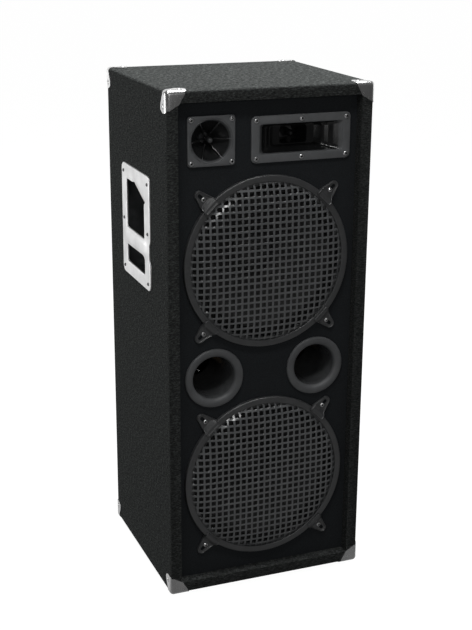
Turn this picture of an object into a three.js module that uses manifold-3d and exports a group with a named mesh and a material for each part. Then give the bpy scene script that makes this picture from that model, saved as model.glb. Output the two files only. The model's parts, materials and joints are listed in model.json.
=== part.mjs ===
// A floor-standing PA loudspeaker: a tall felt-covered cabinet with two 12-inch woofers behind
// domed steel grilles, a wide horn, a small finned tweeter, two bass ports, a bar handle on
// each side, steel corner protectors, a rear connector dish and rubber feet.
//
// Millimetres, +Z up. The front faces -Y. The origin is on the floor, under the cabinet's centre.

import * as THREE from 'three';
import { RoundedBoxGeometry } from 'three/addons/geometries/RoundedBoxGeometry.js';
import { ConvexGeometry } from 'three/addons/geometries/ConvexGeometry.js';
import { mergeVertices } from 'three/addons/utils/BufferGeometryUtils.js';
import Module from 'manifold-3d';

const wasm = await Module();
wasm.setup();

// ---------------------------------------------------------------- driving dimensions

const GAP = 0.3; // clearance kept between touching pieces

const WIDTH = 380; // the covered cabinet
const DEPTH = 350;
const HEIGHT = 927;
const EDGE_RADIUS = 4;
const EDGE_STEPS = 2; // facets across half of a rounded edge
const FELT = 2.5; // thickness of the felt covering
const BOARD = 15; // thickness of the cabinet boards
const RIM = BOARD + 2 * FELT; // the raised border round the front
const RECESS = 21; // how far the baffle sits behind the front rim

const FOOT_HEIGHT = 10;
const FOOT_RADIUS = 19;
const FOOT_INSET = 52;

const WOOFER_HEIGHTS = { lower: 204.8, upper: 617.3 }; // axes above the cabinet's underside
const ROUND_STEPS = 24; // facets round the woofers' large parts
const SMALL_STEPS = 16; // facets round their small parts
const WOOFER_CUTOUT = 141.5;
const FLANGE_RADIUS = 153;
const CONE_RADIUS = 122.5;
const COIL_RADIUS = 25.5;
const MAGNET_RADIUS = 75;
const MAGNET_BACK = 152; // behind the baffle's front face

const RING_RADIUS = 156.3; // the grille's clamping ring
const RING_INNER = 144.5;
const RING_PROUD = 8.3;
const DOME_PROUD = 17; // the mesh's highest point above the baffle

const CLAMP_SCREW = 170; // clamp screws from the woofer's axis
const CLAMP_TILT = { lower: 46.9, upper: 45.4 }; // the clamps' angle to the horizontal, in degrees
const CLAMP_TIP_RADIUS = 8;
const CLAMP_TIP = 181; // centre of the clamp's round tip, from the woofer's axis
const CLAMP_HALF_WIDTH = 17;

const PORT_X = 98.5;
const PORT_Z = 410;
const PORT_FLANGE = 55.4;
const PORT_BORE = 38;
const PORT_LENGTH = 120;

const TWEETER = { x: -104.5, z: 838, size: 86, mouth: 37.7 };
const HORN = { x: 61.8, z: 835.2, width: 187, height: 81, mouthWidth: 157, mouthHeight: 52 };
const HORN_LENGTH = 78;
const PLASTIC_FLANGE = 4; // thickness of the tweeter and horn flanges

const HANDLE = { y: -1, z: 663.5, width: 166, height: 208, steel: 2.5 };
const TRAY = { width: 138, height: 182, depth: 58, wall: 2.5 };

const PROTECTOR_STEEL = 1.5;
const PROTECTOR_REACH = 39; // how far a corner protector reaches from its corner

const DISH = { z: 300, width: 130, height: 100, depth: 32, wall: 2.5 };
const SOCKET_X = 27; // the two sockets, either side of the dish's middle
const SOCKET_RADIUS = 13;

// Derived places, in the cabinet's frame: its underside is z = 0.
const FRONT = -DEPTH / 2;
const BAFFLE = FRONT + RECESS; // the baffle's front face
const REAR = DEPTH / 2;
const SIDE = WIDTH / 2;
const SIDE_BOARD_INNER = SIDE - FELT - BOARD;
const BOTTOM_BOARD_INNER = FELT + BOARD;
const TOP_BOARD_INNER = HEIGHT - FELT - BOARD;

// ---------------------------------------------------------------- materials

const paint = (colour, roughness, metalness) =>
  new THREE.MeshStandardMaterial({ color: colour, roughness, metalness });

const MATERIALS = {
  felt: paint(0x1b1b1c, 0.95, 0),
  board: paint(0x9a7b55, 0.8, 0),
  baffle: paint(0x141415, 0.85, 0),
  blackSteel: paint(0x26282a, 0.45, 0.6),
  blackPlastic: paint(0x1d1f21, 0.5, 0),
  zinc: paint(0xc9cbcc, 0.3, 0.9),
  handleSteel: paint(0xb4b8ba, 0.4, 0.8),
  paper: paint(0x232323, 0.8, 0),
  foam: paint(0x161616, 0.9, 0),
  copper: paint(0xb8703c, 0.35, 0.8),
  ferrite: paint(0x3a3b3d, 0.6, 0.2),
  spider: paint(0xb09048, 0.9, 0),
  rubber: paint(0x0e0e0e, 0.9, 0),
  circuit: paint(0x1f4a2c, 0.6, 0),
};

// ---------------------------------------------------------------- solid helpers

// The geometry with its shared vertices welded and its collapsed triangles removed.
function welded(geometry) {
  const bare = geometry.clone();
  for (const name of Object.keys(bare.attributes)) {
    if (name !== 'position') bare.deleteAttribute(name);
  }
  const merged = mergeVertices(bare, 1e-4);
  const index = merged.index.array;
  const kept = [];
  for (let i = 0; i < index.length; i += 3) {
    const [a, b, c] = [index[i], index[i + 1], index[i + 2]];
    if (a !== b && b !== c && c !== a) kept.push(a, b, c);
  }
  merged.setIndex(kept);
  return merged;
}

// A closed geometry as a solid that can be joined and cut.
function solid(geometry) {
  const shape = welded(geometry);
  return new wasm.Manifold(new wasm.Mesh({
    numProp: 3,
    vertProperties: new Float32Array(shape.attributes.position.array),
    triVerts: new Uint32Array(shape.index.array),
  }));
}

// A solid's faces as a geometry.
function geometryOf(manifold) {
  const mesh = manifold.getMesh();
  const geometry = new THREE.BufferGeometry();
  geometry.setAttribute('position', new THREE.BufferAttribute(mesh.vertProperties, 3));
  geometry.setIndex(new THREE.BufferAttribute(mesh.triVerts, 1));
  geometry.computeVertexNormals();
  return geometry;
}

const joined = (...solids) => solids.reduce((sum, next) => sum.add(next));

// A box between two corners.
function boxBetween(low, high) {
  const size = high.map((value, axis) => value - low[axis]);
  const geometry = new THREE.BoxGeometry(...size);
  return solid(geometry.translate(...low.map((value, axis) => value + size[axis] / 2)));
}

// The cabinet's rounded block, made smaller all round by the inset.
function cabinetBlock(inset) {
  const sides = [WIDTH, DEPTH, HEIGHT].map((side) => side - 2 * inset);
  const geometry = new RoundedBoxGeometry(...sides, EDGE_STEPS, EDGE_RADIUS - inset);
  return solid(geometry.translate(0, 0, HEIGHT / 2));
}

// A solid of revolution about Y. The profile holds [radius, y] points and may touch the axis.
function revolved(profile, steps) {
  const points = profile.map(([radius, y]) => new THREE.Vector2(radius, y));
  if (THREE.ShapeUtils.area(points) < 0) points.reverse();
  if (points.every((point) => point.x > 0)) {
    points.push(points[0].clone());
  } else {
    // Start and end on the axis, with the rest of the profile in between.
    while (points[0].x > 0 || points[1].x === 0) points.push(points.shift());
  }
  return new THREE.LatheGeometry(points, steps);
}

// A rectangle with rounded corners, centred on the origin.
function roundedRectangle(width, height, radius) {
  const [x, y] = [width / 2 - radius, height / 2 - radius];
  const shape = new THREE.Shape();
  shape.absarc(x, y, radius, 0, Math.PI / 2);
  shape.absarc(-x, y, radius, Math.PI / 2, Math.PI);
  shape.absarc(-x, -y, radius, Math.PI, Math.PI * 1.5);
  shape.absarc(x, -y, radius, Math.PI * 1.5, Math.PI * 2);
  shape.closePath();
  return shape;
}

function circle(radius) {
  return new THREE.Shape().absarc(0, 0, radius, 0, Math.PI * 2);
}

// A shape drawn in X and Z, made thick along Y from y = back forwards to y = back - thickness.
function frontwards(shape, back, thickness, curveSegments = 4) {
  const geometry = new THREE.ExtrudeGeometry(shape, {
    depth: thickness,
    bevelEnabled: false,
    curveSegments,
  });
  return geometry.rotateX(Math.PI / 2).translate(0, back, 0);
}

// ---------------------------------------------------------------- assembly helpers

const speaker = new THREE.Group();
const cabinet = new THREE.Group();
cabinet.position.z = FOOT_HEIGHT;
speaker.add(cabinet);

function addPart(parent, name, geometry, material) {
  const mesh = new THREE.Mesh(geometry, material);
  mesh.name = name;
  parent.add(mesh);
  return mesh;
}

function groupAt(parent, x, y, z) {
  const group = new THREE.Group();
  group.position.set(x, y, z);
  parent.add(group);
  return group;
}

// ---------------------------------------------------------------- cabinet

// The cuts for the two hand trays and the rear connector dish, run through boards and felt.
function cabinetCutouts() {
  const trayHole = roundedRectangle(TRAY.width + 2, TRAY.height + 2, 12);
  const tray = new THREE.ExtrudeGeometry(trayHole, {
    depth: WIDTH + 20,
    bevelEnabled: false,
    curveSegments: 3,
  });
  tray.rotateX(Math.PI / 2).rotateZ(Math.PI / 2);
  tray.translate(-WIDTH / 2 - 10, HANDLE.y, HANDLE.z);
  const dishHole = roundedRectangle(DISH.width - 14, DISH.height - 14, 6);
  const dish = frontwards(dishHole, REAR + 10, 40, 3).translate(0, 0, DISH.z);
  return joined(solid(tray), solid(dish));
}

// Felt outside the cabinet, over the front rim and down the inside of the recess.
function feltCover(cutouts) {
  const mouth = [SIDE - RIM, HEIGHT - RIM];
  const liningSide = SIDE_BOARD_INNER - GAP;
  const skin = cabinetBlock(0).subtract(cabinetBlock(FELT));
  const lining = boxBetween(
    [-liningSide, FRONT + FELT - 1, BOTTOM_BOARD_INNER + GAP],
    [liningSide, BAFFLE - GAP, TOP_BOARD_INNER - GAP],
  );
  const opening = boxBetween([-mouth[0], FRONT - 1, RIM], [mouth[0], BAFFLE, mouth[1]]);
  return skin.add(lining).subtract(opening).subtract(cutouts);
}

function addCabinet() {
  const cutouts = cabinetCutouts();
  const wood = cabinetBlock(FELT + GAP);
  const [inner, low, high] = [SIDE_BOARD_INNER, BOTTOM_BOARD_INNER, TOP_BOARD_INNER];
  const [left, right] = [-inner + GAP, inner - GAP];
  const boards = {
    side_panel_left: boxBetween([-WIDTH, -DEPTH, -1], [-inner, DEPTH, HEIGHT + 1]),
    side_panel_right: boxBetween([inner, -DEPTH, -1], [WIDTH, DEPTH, HEIGHT + 1]),
    top_panel: boxBetween([left, -DEPTH, high], [right, DEPTH, HEIGHT + 1]),
    bottom_panel: boxBetween([left, -DEPTH, -1], [right, DEPTH, low]),
    back_panel: boxBetween(
      [left, REAR - FELT - BOARD, low + GAP],
      [right, DEPTH, high - GAP],
    ),
  };
  for (const [name, slab] of Object.entries(boards)) {
    addPart(cabinet, name, geometryOf(wood.intersect(slab).subtract(cutouts)), MATERIALS.board);
  }
  addPart(cabinet, 'felt_cover', geometryOf(feltCover(cutouts)), MATERIALS.felt);
}

// A path with a round hole's outline, for a plate that is drawn in X and Z.
function roundHole(x, z, radius) {
  return new THREE.Path().absarc(x, z, radius, 0, Math.PI * 2, true);
}

function addBaffle() {
  const side = SIDE_BOARD_INNER - GAP;
  const [low, high] = [BOTTOM_BOARD_INNER + GAP, TOP_BOARD_INNER - GAP];
  const plate = new THREE.Shape();
  plate.moveTo(-side, low);
  plate.lineTo(side, low);
  plate.lineTo(side, high);
  plate.lineTo(-side, high);
  plate.closePath();
  for (const height of Object.values(WOOFER_HEIGHTS)) {
    plate.holes.push(roundHole(0, height, WOOFER_CUTOUT));
  }
  plate.holes.push(roundHole(-PORT_X, PORT_Z, PORT_BORE + 6));
  plate.holes.push(roundHole(PORT_X, PORT_Z, PORT_BORE + 6));
  plate.holes.push(roundHole(TWEETER.x, TWEETER.z, 41));
  const halfSlot = [HORN.mouthWidth / 2 + 5, HORN.mouthHeight / 2 + 5];
  const hornSlot = new THREE.Path();
  hornSlot.moveTo(HORN.x - halfSlot[0], HORN.z - halfSlot[1]);
  hornSlot.lineTo(HORN.x - halfSlot[0], HORN.z + halfSlot[1]);
  hornSlot.lineTo(HORN.x + halfSlot[0], HORN.z + halfSlot[1]);
  hornSlot.lineTo(HORN.x + halfSlot[0], HORN.z - halfSlot[1]);
  hornSlot.closePath();
  plate.holes.push(hornSlot);
  addPart(cabinet, 'front_baffle', frontwards(plate, BAFFLE + BOARD, BOARD, 12), MATERIALS.baffle);
}

// A beam from side to side between the woofers, behind the ports.
function addBrace() {
  const side = SIDE_BOARD_INNER - GAP;
  const beam = new THREE.BoxGeometry(2 * side, 60, 18);
  addPart(cabinet, 'cross_brace', beam, MATERIALS.board).position.set(0, 75, PORT_Z);
}

// The crossover: a circuit board with two coils and two capacitors, on the back panel.
function addCrossover() {
  const board = boxBetween([-75, -3, -55], [75, 0, 55]);
  const coils = [-40, 40].map((x) => {
    const coil = revolved([[9, -24], [24, -24], [24, -2], [9, -2]], 16);
    return solid(coil.translate(x, 0, 22));
  });
  const capacitors = [-35, 30].map((x) => {
    const can = new THREE.CylinderGeometry(9, 9, 44, 12).rotateZ(Math.PI / 2);
    return solid(can.translate(x, -10, -30));
  });
  const crossover = joined(board, ...coils, ...capacitors);
  const mesh = addPart(cabinet, 'crossover_board', geometryOf(crossover), MATERIALS.circuit);
  mesh.position.set(0, REAR - FELT - BOARD - GAP, 500);
}

// ---------------------------------------------------------------- woofers

// Woofer parts share the woofer's axis. Their y counts back from the baffle's front face.

function basketSolid() {
  const shell = solid(revolved([
    [FLANGE_RADIUS, -3.8],
    [FLANGE_RADIUS, -GAP],
    [140.5, -GAP],
    [140.5, 14],
    [80, 96],
    [62, 96],
    [62, 112],
    [30, 112],
    [30, 110],
    [60, 110],
    [60, 94],
    [79, 94],
    [138.5, 13.2],
    [138.5, -3.8],
  ], ROUND_STEPS));
  const window = new THREE.Shape();
  window.moveTo(-17, 92);
  window.lineTo(-38, 134);
  window.lineTo(38, 134);
  window.lineTo(17, 92);
  window.closePath();
  const windows = [0, 1, 2, 3].map((step) => {
    const cut = frontwards(window, 76, 56);
    return solid(cut.rotateY((step * Math.PI) / 2));
  });
  return windows.reduce((basket, cut) => basket.subtract(cut), shell);
}

const MAGNET_PROFILE = [
  [0, MAGNET_BACK],
  [MAGNET_RADIUS, MAGNET_BACK],
  [MAGNET_RADIUS, 112 + GAP],
  [COIL_RADIUS + 2.5, 112 + GAP],
  [COIL_RADIUS + 2.5, 138],
  [COIL_RADIUS - 2.5, 138],
  [COIL_RADIUS - 2.5, 112 + GAP],
  [0, 112 + GAP],
];

const COIL_PROFILE = [
  [COIL_RADIUS - 1, 82],
  [COIL_RADIUS + 1, 82],
  [COIL_RADIUS + 1, 128],
  [COIL_RADIUS - 1, 128],
];

const CONE_PROFILE = [
  [COIL_RADIUS + 1 + GAP, 84],
  [60, 53],
  [CONE_RADIUS, 5],
  [CONE_RADIUS, 7.5],
  [61, 55.5],
  [COIL_RADIUS + 1 + GAP, 87],
];

const DUST_CAP_PROFILE = [
  [0, 50],
  [20, 52.5],
  [34, 60],
  [42, 67.2],
  [39.5, 68.2],
  [32.5, 62],
  [19, 54.5],
  [0, 52],
];

// The half-roll edge between the basket and the cone, which flexes as the cone travels.
function surroundProfile() {
  const [middle, outer, inner] = [130.4, 7.4, 6];
  const arcPoint = (radius, angle) => [
    middle + radius * Math.cos(angle),
    5 - radius * Math.sin(angle),
  ];
  const steps = [0, 1, 2, 3, 4].map((step) => (step * Math.PI) / 4);
  return [
    ...steps.map((angle) => arcPoint(outer, angle)),
    ...steps.map((angle) => arcPoint(inner, Math.PI - angle)),
  ];
}

// The corrugated disc that centres the voice coil.
const SPIDER_PROFILE = [
  [COIL_RADIUS + 1 + GAP, 90],
  [38, 93],
  [50, 90],
  [70, 92.5],
  [70, 93.7],
  [50, 91.2],
  [38, 94.2],
  [COIL_RADIUS + 1 + GAP, 91.2],
];

const RING_PROFILE = [
  [FLANGE_RADIUS + GAP, -GAP],
  [RING_RADIUS, -GAP],
  [RING_RADIUS, 2 - RING_PROUD],
  [RING_RADIUS - 2, -RING_PROUD],
  [RING_INNER, -RING_PROUD],
  [RING_INNER, 2.6 - RING_PROUD],
  [FLANGE_RADIUS + GAP, 2.6 - RING_PROUD],
];

// The domed grille disc: a flat rim under the ring, a steep shoulder and a crowned middle.
const MESH_PROFILE = [
  [0, -DOME_PROUD],
  [126, 2.8 - DOME_PROUD],
  [138, 6.4 - DOME_PROUD],
  [144, -5.4],
  [FLANGE_RADIUS, -5.4],
  [FLANGE_RADIUS, -4.1],
  [143, -4.1],
  [137.2, 7.5 - DOME_PROUD],
  [125.6, 4.1 - DOME_PROUD],
  [0, 1.3 - DOME_PROUD],
];

// One clamp, pointing along +X: a teardrop plate screwed to the baffle that steps over the ring.
function clampGeometry() {
  const root = RING_RADIUS - 9;
  const plan = new THREE.Shape();
  plan.moveTo(root, -CLAMP_HALF_WIDTH + 2);
  plan.lineTo(root + 4, -CLAMP_HALF_WIDTH);
  plan.absarc(CLAMP_TIP, 0, CLAMP_TIP_RADIUS, -Math.PI * 0.36, Math.PI * 0.36);
  plan.lineTo(root + 4, CLAMP_HALF_WIDTH);
  plan.lineTo(root, CLAMP_HALF_WIDTH - 2);
  plan.closePath();
  plan.holes.push(new THREE.Path().absarc(CLAMP_SCREW, 0, 2.6, 0, Math.PI * 2, true));
  const top = -RING_PROUD - GAP;
  const side = new THREE.Shape();
  side.moveTo(RING_RADIUS + GAP, -GAP);
  side.lineTo(RING_RADIUS + GAP, top);
  side.lineTo(root, top);
  side.lineTo(root + 1.5, top - 2);
  side.lineTo(RING_RADIUS + 1, top - 2);
  side.lineTo(RING_RADIUS + 6, -4.3);
  side.lineTo(CLAMP_TIP + 12, -3.8);
  side.lineTo(CLAMP_TIP + 12, -GAP);
  side.closePath();
  const planSolid = solid(frontwards(plan, 5, 30, 3));
  const sideSolid = solid(new THREE.ExtrudeGeometry(side, { depth: 80, bevelEnabled: false })
    .translate(0, 0, -40));
  return geometryOf(planSolid.intersect(sideSolid));
}

function addWoofers() {
  const clamp = clampGeometry();
  const basket = geometryOf(basketSolid());
  const pieces = {
    magnet: [revolved(MAGNET_PROFILE, SMALL_STEPS), MATERIALS.ferrite],
    voice_coil: [revolved(COIL_PROFILE, SMALL_STEPS), MATERIALS.copper],
    cone: [revolved(CONE_PROFILE, ROUND_STEPS), MATERIALS.paper],
    dust_cap: [revolved(DUST_CAP_PROFILE, SMALL_STEPS), MATERIALS.paper],
    surround: [revolved(surroundProfile(), ROUND_STEPS), MATERIALS.foam],
    spider: [revolved(SPIDER_PROFILE, SMALL_STEPS), MATERIALS.spider],
    basket: [basket, MATERIALS.blackSteel],
    grille_ring: [revolved(RING_PROFILE, ROUND_STEPS), MATERIALS.blackSteel],
    grille_mesh: [revolved(MESH_PROFILE, ROUND_STEPS), MATERIALS.blackSteel],
  };
  const corners = { top_right: [1, 1], top_left: [-1, 1], bottom_left: [-1, -1], bottom_right: [1, -1] };
  for (const [place, height] of Object.entries(WOOFER_HEIGHTS)) {
    const axis = groupAt(cabinet, 0, BAFFLE, height);
    for (const [name, [geometry, material]] of Object.entries(pieces)) {
      addPart(axis, `${place}_woofer_${name}`, geometry, material);
    }
    const tilt = THREE.MathUtils.degToRad(CLAMP_TILT[place]);
    for (const [corner, [across, up]] of Object.entries(corners)) {
      const mesh = addPart(axis, `${place}_clamp_${corner}`, clamp, MATERIALS.blackSteel);
      mesh.rotation.y = -Math.atan2(up * Math.sin(tilt), across * Math.cos(tilt));
    }
  }
}

// ---------------------------------------------------------------- ports

const PORT_PROFILE = [
  [PORT_FLANGE, -GAP],
  [PORT_FLANGE - 2, -4.4],
  [PORT_BORE + 6, -5],
  [PORT_BORE + 2, -2.5],
  [PORT_BORE, 5],
  [PORT_BORE, PORT_LENGTH],
  [PORT_BORE + 3, PORT_LENGTH],
  [PORT_BORE + 3, 10],
  [PORT_BORE + 5, -GAP],
];

function addPorts() {
  const tube = revolved(PORT_PROFILE, ROUND_STEPS);
  for (const [side, x] of Object.entries({ left: -PORT_X, right: PORT_X })) {
    const port = groupAt(cabinet, x, BAFFLE, PORT_Z);
    addPart(port, `bass_port_${side}`, tube, MATERIALS.blackPlastic);
  }
}

// ---------------------------------------------------------------- tweeter and horn

// The tweeter's moulding: a square flange, a round bell, six fins and a central bullet.
function tweeterSolid() {
  const front = -GAP - PLASTIC_FLANGE;
  const mouth = TWEETER.mouth;
  const plate = roundedRectangle(TWEETER.size, TWEETER.size, 6);
  plate.holes.push(new THREE.Path().absarc(0, 0, mouth + 1, 0, Math.PI * 2, true));
  const flange = solid(frontwards(plate, -GAP, PLASTIC_FLANGE, 5));
  const bell = solid(revolved([
    [mouth + 2, front],
    [mouth, front],
    [30, 7],
    [18, 20],
    [9, 34],
    [11.5, 34],
    [20.5, 19],
    [32.5, 5],
    [mouth + 2, -GAP],
  ], 20));
  const bullet = solid(revolved([[0, 0], [4, 2], [4.5, 5], [4.5, 27], [0, 27]], 8));
  const fin = new THREE.Shape();
  fin.moveTo(3, 12);
  fin.lineTo(mouth - 0.5, front + 1.8);
  fin.lineTo(31.2, 6);
  fin.lineTo(19, 19.6);
  fin.lineTo(13.5, 26.5);
  fin.lineTo(3, 26.5);
  fin.closePath();
  const fins = [0, 1, 2, 3, 4, 5].map((step) => {
    const blade = new THREE.ExtrudeGeometry(fin, { depth: 1.6, bevelEnabled: false });
    return solid(blade.translate(0, 0, -0.8).rotateY((-step * Math.PI) / 3 - 0.06));
  });
  return joined(flange, bell, bullet, ...fins);
}

// A tapered block along Y, from one rectangle to the next.
function tapered(from, to) {
  const corners = [from, to].flatMap(([width, height, y]) => [
    new THREE.Vector3(-width / 2, y, -height / 2),
    new THREE.Vector3(width / 2, y, -height / 2),
    new THREE.Vector3(-width / 2, y, height / 2),
    new THREE.Vector3(width / 2, y, height / 2),
  ]);
  return solid(new ConvexGeometry(corners));
}

// The horn's sections from mouth to throat, as width, height and depth behind the baffle.
const HORN_FRONT = -GAP - PLASTIC_FLANGE;
const HORN_SECTIONS = [
  [HORN.mouthWidth, HORN.mouthHeight, HORN_FRONT - 0.5],
  [HORN.mouthWidth - 22, HORN.mouthHeight - 7, 6],
  [HORN.mouthWidth - 78, HORN.mouthHeight - 18, 32],
  [34, 24, HORN_LENGTH + 0.5],
];

function hornSolid() {
  const wall = 2.5;
  const spans = [0, 1, 2].map((step) => [HORN_SECTIONS[step], HORN_SECTIONS[step + 1]]);
  const thicker = ([width, height, y]) => [width + 2 * wall, height + 2 * wall, y];
  const outside = joined(...spans.map(([from, to]) => tapered(thicker(from), thicker(to))));
  const inside = joined(...spans.map(([from, to]) => tapered(from, to)));
  const trimmed = boxBetween([-100, HORN_FRONT, -50], [100, HORN_LENGTH, 50]);
  const plate = roundedRectangle(HORN.width, HORN.height, 9);
  const flange = solid(frontwards(plate, -GAP, PLASTIC_FLANGE, 4));
  return flange.add(outside.intersect(trimmed)).subtract(inside);
}

function addHighFrequencyDrivers() {
  const tweeter = groupAt(cabinet, TWEETER.x, BAFFLE, TWEETER.z);
  addPart(tweeter, 'tweeter_horn', geometryOf(tweeterSolid()), MATERIALS.blackPlastic);
  const element = revolved([[0, 34.3], [22, 34.3], [24, 36], [24, 52], [0, 52]], 20);
  addPart(tweeter, 'tweeter_element', element, MATERIALS.blackPlastic);
  const horn = groupAt(cabinet, HORN.x, BAFFLE, HORN.z);
  addPart(horn, 'midrange_horn', geometryOf(hornSolid()), MATERIALS.blackPlastic);
  const back = HORN_LENGTH + GAP;
  const driver = revolved([
    [0, back],
    [26, back],
    [26, back + 6],
    [45, back + 9],
    [45, back + 44],
    [0, back + 44],
  ], 20);
  addPart(horn, 'midrange_driver', driver, MATERIALS.ferrite);
}

// ---------------------------------------------------------------- handles

// A shape drawn in Y and Z, made thick along X from the cabinet's left side outwards.
function outwards(shape, thickness, curveSegments = 4) {
  const geometry = new THREE.ExtrudeGeometry(shape, {
    depth: thickness,
    bevelEnabled: false,
    curveSegments,
  });
  return geometry.rotateX(Math.PI / 2).rotateZ(-Math.PI / 2);
}

// The steel plate: a tall hand opening with one sloped corner, a grip bar and a lower opening.
function handlePlate() {
  const plate = roundedRectangle(HANDLE.width, HANDLE.height, 13);
  const edge = 53;
  const upper = new THREE.Path();
  upper.moveTo(-edge, -14);
  upper.lineTo(-edge, 76);
  upper.lineTo(-12, 76);
  upper.lineTo(edge - 2, 54);
  upper.lineTo(edge - 2, -14);
  upper.closePath();
  const lower = new THREE.Path();
  lower.moveTo(-edge, -79);
  lower.lineTo(-edge, -46);
  lower.lineTo(edge - 8, -43);
  lower.lineTo(edge - 1, -50);
  lower.lineTo(edge - 1, -79);
  lower.closePath();
  plate.holes.push(upper, lower);
  return outwards(plate, HANDLE.steel, 3);
}

// The plastic tray behind the plate, open to the outside.
function handTray() {
  const outline = roundedRectangle(TRAY.width, TRAY.height, 11);
  const innerOutline = roundedRectangle(
    TRAY.width - 2 * TRAY.wall,
    TRAY.height - 2 * TRAY.wall,
    8.5,
  );
  const outside = solid(outwards(outline, TRAY.depth, 2));
  const inside = solid(outwards(innerOutline, TRAY.depth, 2).translate(-TRAY.wall, 0, 0));
  return outside.subtract(inside).translate([TRAY.depth, 0, 0]);
}

function addHandles() {
  const plate = handlePlate();
  const tray = geometryOf(handTray());
  for (const [side, turn] of Object.entries({ left: 0, right: Math.PI })) {
    const handle = groupAt(cabinet, 0, HANDLE.y, HANDLE.z);
    handle.rotation.z = turn;
    const sideAt = groupAt(handle, -SIDE, 0, 0);
    addPart(sideAt, `handle_plate_${side}`, plate, MATERIALS.handleSteel).position.x = -GAP;
    addPart(sideAt, `handle_tray_${side}`, tray, MATERIALS.blackPlastic);
  }
}

// ---------------------------------------------------------------- corners and feet

// Eight steel caps, cut from a thin shell round the cabinet by a ball at each corner.
function addCornerProtectors() {
  const shell = cabinetBlock(-GAP - PROTECTOR_STEEL).subtract(cabinetBlock(-GAP));
  const ball = new THREE.SphereGeometry(PROTECTOR_REACH, 10, 6);
  const levels = { bottom: 0, top: HEIGHT };
  const ends = { front: FRONT, back: REAR };
  const sides = { left: -SIDE, right: SIDE };
  for (const [level, z] of Object.entries(levels)) {
    for (const [end, y] of Object.entries(ends)) {
      for (const [side, x] of Object.entries(sides)) {
        const cap = shell.intersect(solid(ball.clone().translate(x, y, z)));
        addPart(cabinet, `corner_${level}_${end}_${side}`, geometryOf(cap), MATERIALS.zinc);
      }
    }
  }
}

function addFeet() {
  const foot = new THREE.CylinderGeometry(FOOT_RADIUS, FOOT_RADIUS - 2, FOOT_HEIGHT - GAP, 16)
    .rotateX(Math.PI / 2)
    .translate(0, 0, (FOOT_HEIGHT - GAP) / 2);
  const [x, y] = [SIDE - FOOT_INSET, REAR - FOOT_INSET];
  const places = {
    front_left: [-x, -y],
    front_right: [x, -y],
    back_left: [-x, y],
    back_right: [x, y],
  };
  for (const [name, [footX, footY]] of Object.entries(places)) {
    addPart(speaker, `foot_${name}`, foot, MATERIALS.rubber).position.set(footX, footY, 0);
  }
}

// ---------------------------------------------------------------- rear connectors

// The recessed dish, with two round holes in its floor for the sockets.
function dishSolid() {
  const face = roundedRectangle(DISH.width, DISH.height, 8);
  const bodyWidth = DISH.width - 16;
  const bodyHeight = DISH.height - 16;
  const flange = solid(frontwards(face, GAP + PROTECTOR_STEEL, PROTECTOR_STEEL, 3));
  const body = roundedRectangle(bodyWidth, bodyHeight, 6);
  const hollow = roundedRectangle(bodyWidth - 2 * DISH.wall, bodyHeight - 2 * DISH.wall, 4);
  const outside = solid(frontwards(body, GAP + 0.5, DISH.depth, 3));
  const inside = solid(frontwards(hollow, 5, DISH.depth + 2, 3));
  const holes = [-SOCKET_X, SOCKET_X].map((x) => {
    const bore = frontwards(circle(SOCKET_RADIUS + 2 * GAP), 0, 2 * DISH.depth, 8);
    return solid(bore.translate(x, 0, 0));
  });
  return holes.reduce((dish, hole) => dish.subtract(hole), flange.add(outside).subtract(inside));
}

// A twist-lock socket: a square flange, a round cup behind it and a post in its middle.
function socketSolid() {
  const floor = GAP + 0.5 - DISH.depth + 2.7 + GAP; // just above the dish's floor
  const flange = solid(frontwards(roundedRectangle(28, 34, 3), floor + 2, 2, 3));
  const barrel = solid(revolved([
    [0, floor + 4],
    [SOCKET_RADIUS, floor + 4],
    [SOCKET_RADIUS, floor - 22],
    [0, floor - 22],
  ], SMALL_STEPS));
  const cavity = solid(revolved([
    [4, floor + 6],
    [11.4, floor + 6],
    [11.4, floor - 18],
    [4, floor - 18],
  ], SMALL_STEPS));
  const aboveTray = boxBetween([-20, -60, -20], [20, floor + 3.6, 20]);
  return flange.add(barrel).intersect(aboveTray).subtract(cavity);
}

function addRearConnectors() {
  const dish = groupAt(cabinet, 0, REAR, DISH.z);
  addPart(dish, 'connector_dish', geometryOf(dishSolid()), MATERIALS.blackPlastic);
  const socket = geometryOf(socketSolid());
  for (const [name, x] of Object.entries({ input: SOCKET_X, output: -SOCKET_X })) {
    addPart(dish, `socket_${name}`, socket, MATERIALS.blackPlastic).position.x = x;
  }
}

// ---------------------------------------------------------------- assembly

addCabinet();
addBaffle();
addBrace();
addCrossover();
addWoofers();
addPorts();
addHighFrequencyDrivers();
addHandles();
addCornerProtectors();
addFeet();
addRearConnectors();

export default speaker;
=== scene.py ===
"""The looks of a floor-standing PA speaker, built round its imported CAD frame.

Shapes are written in millimetres in the row frame: +Z up, the front facing -Y, the floor at z = 0.
"""

import json
import math

import bmesh
import bpy
from mathutils import Matrix, Vector
from mathutils.geometry import tessellate_polygon


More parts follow.
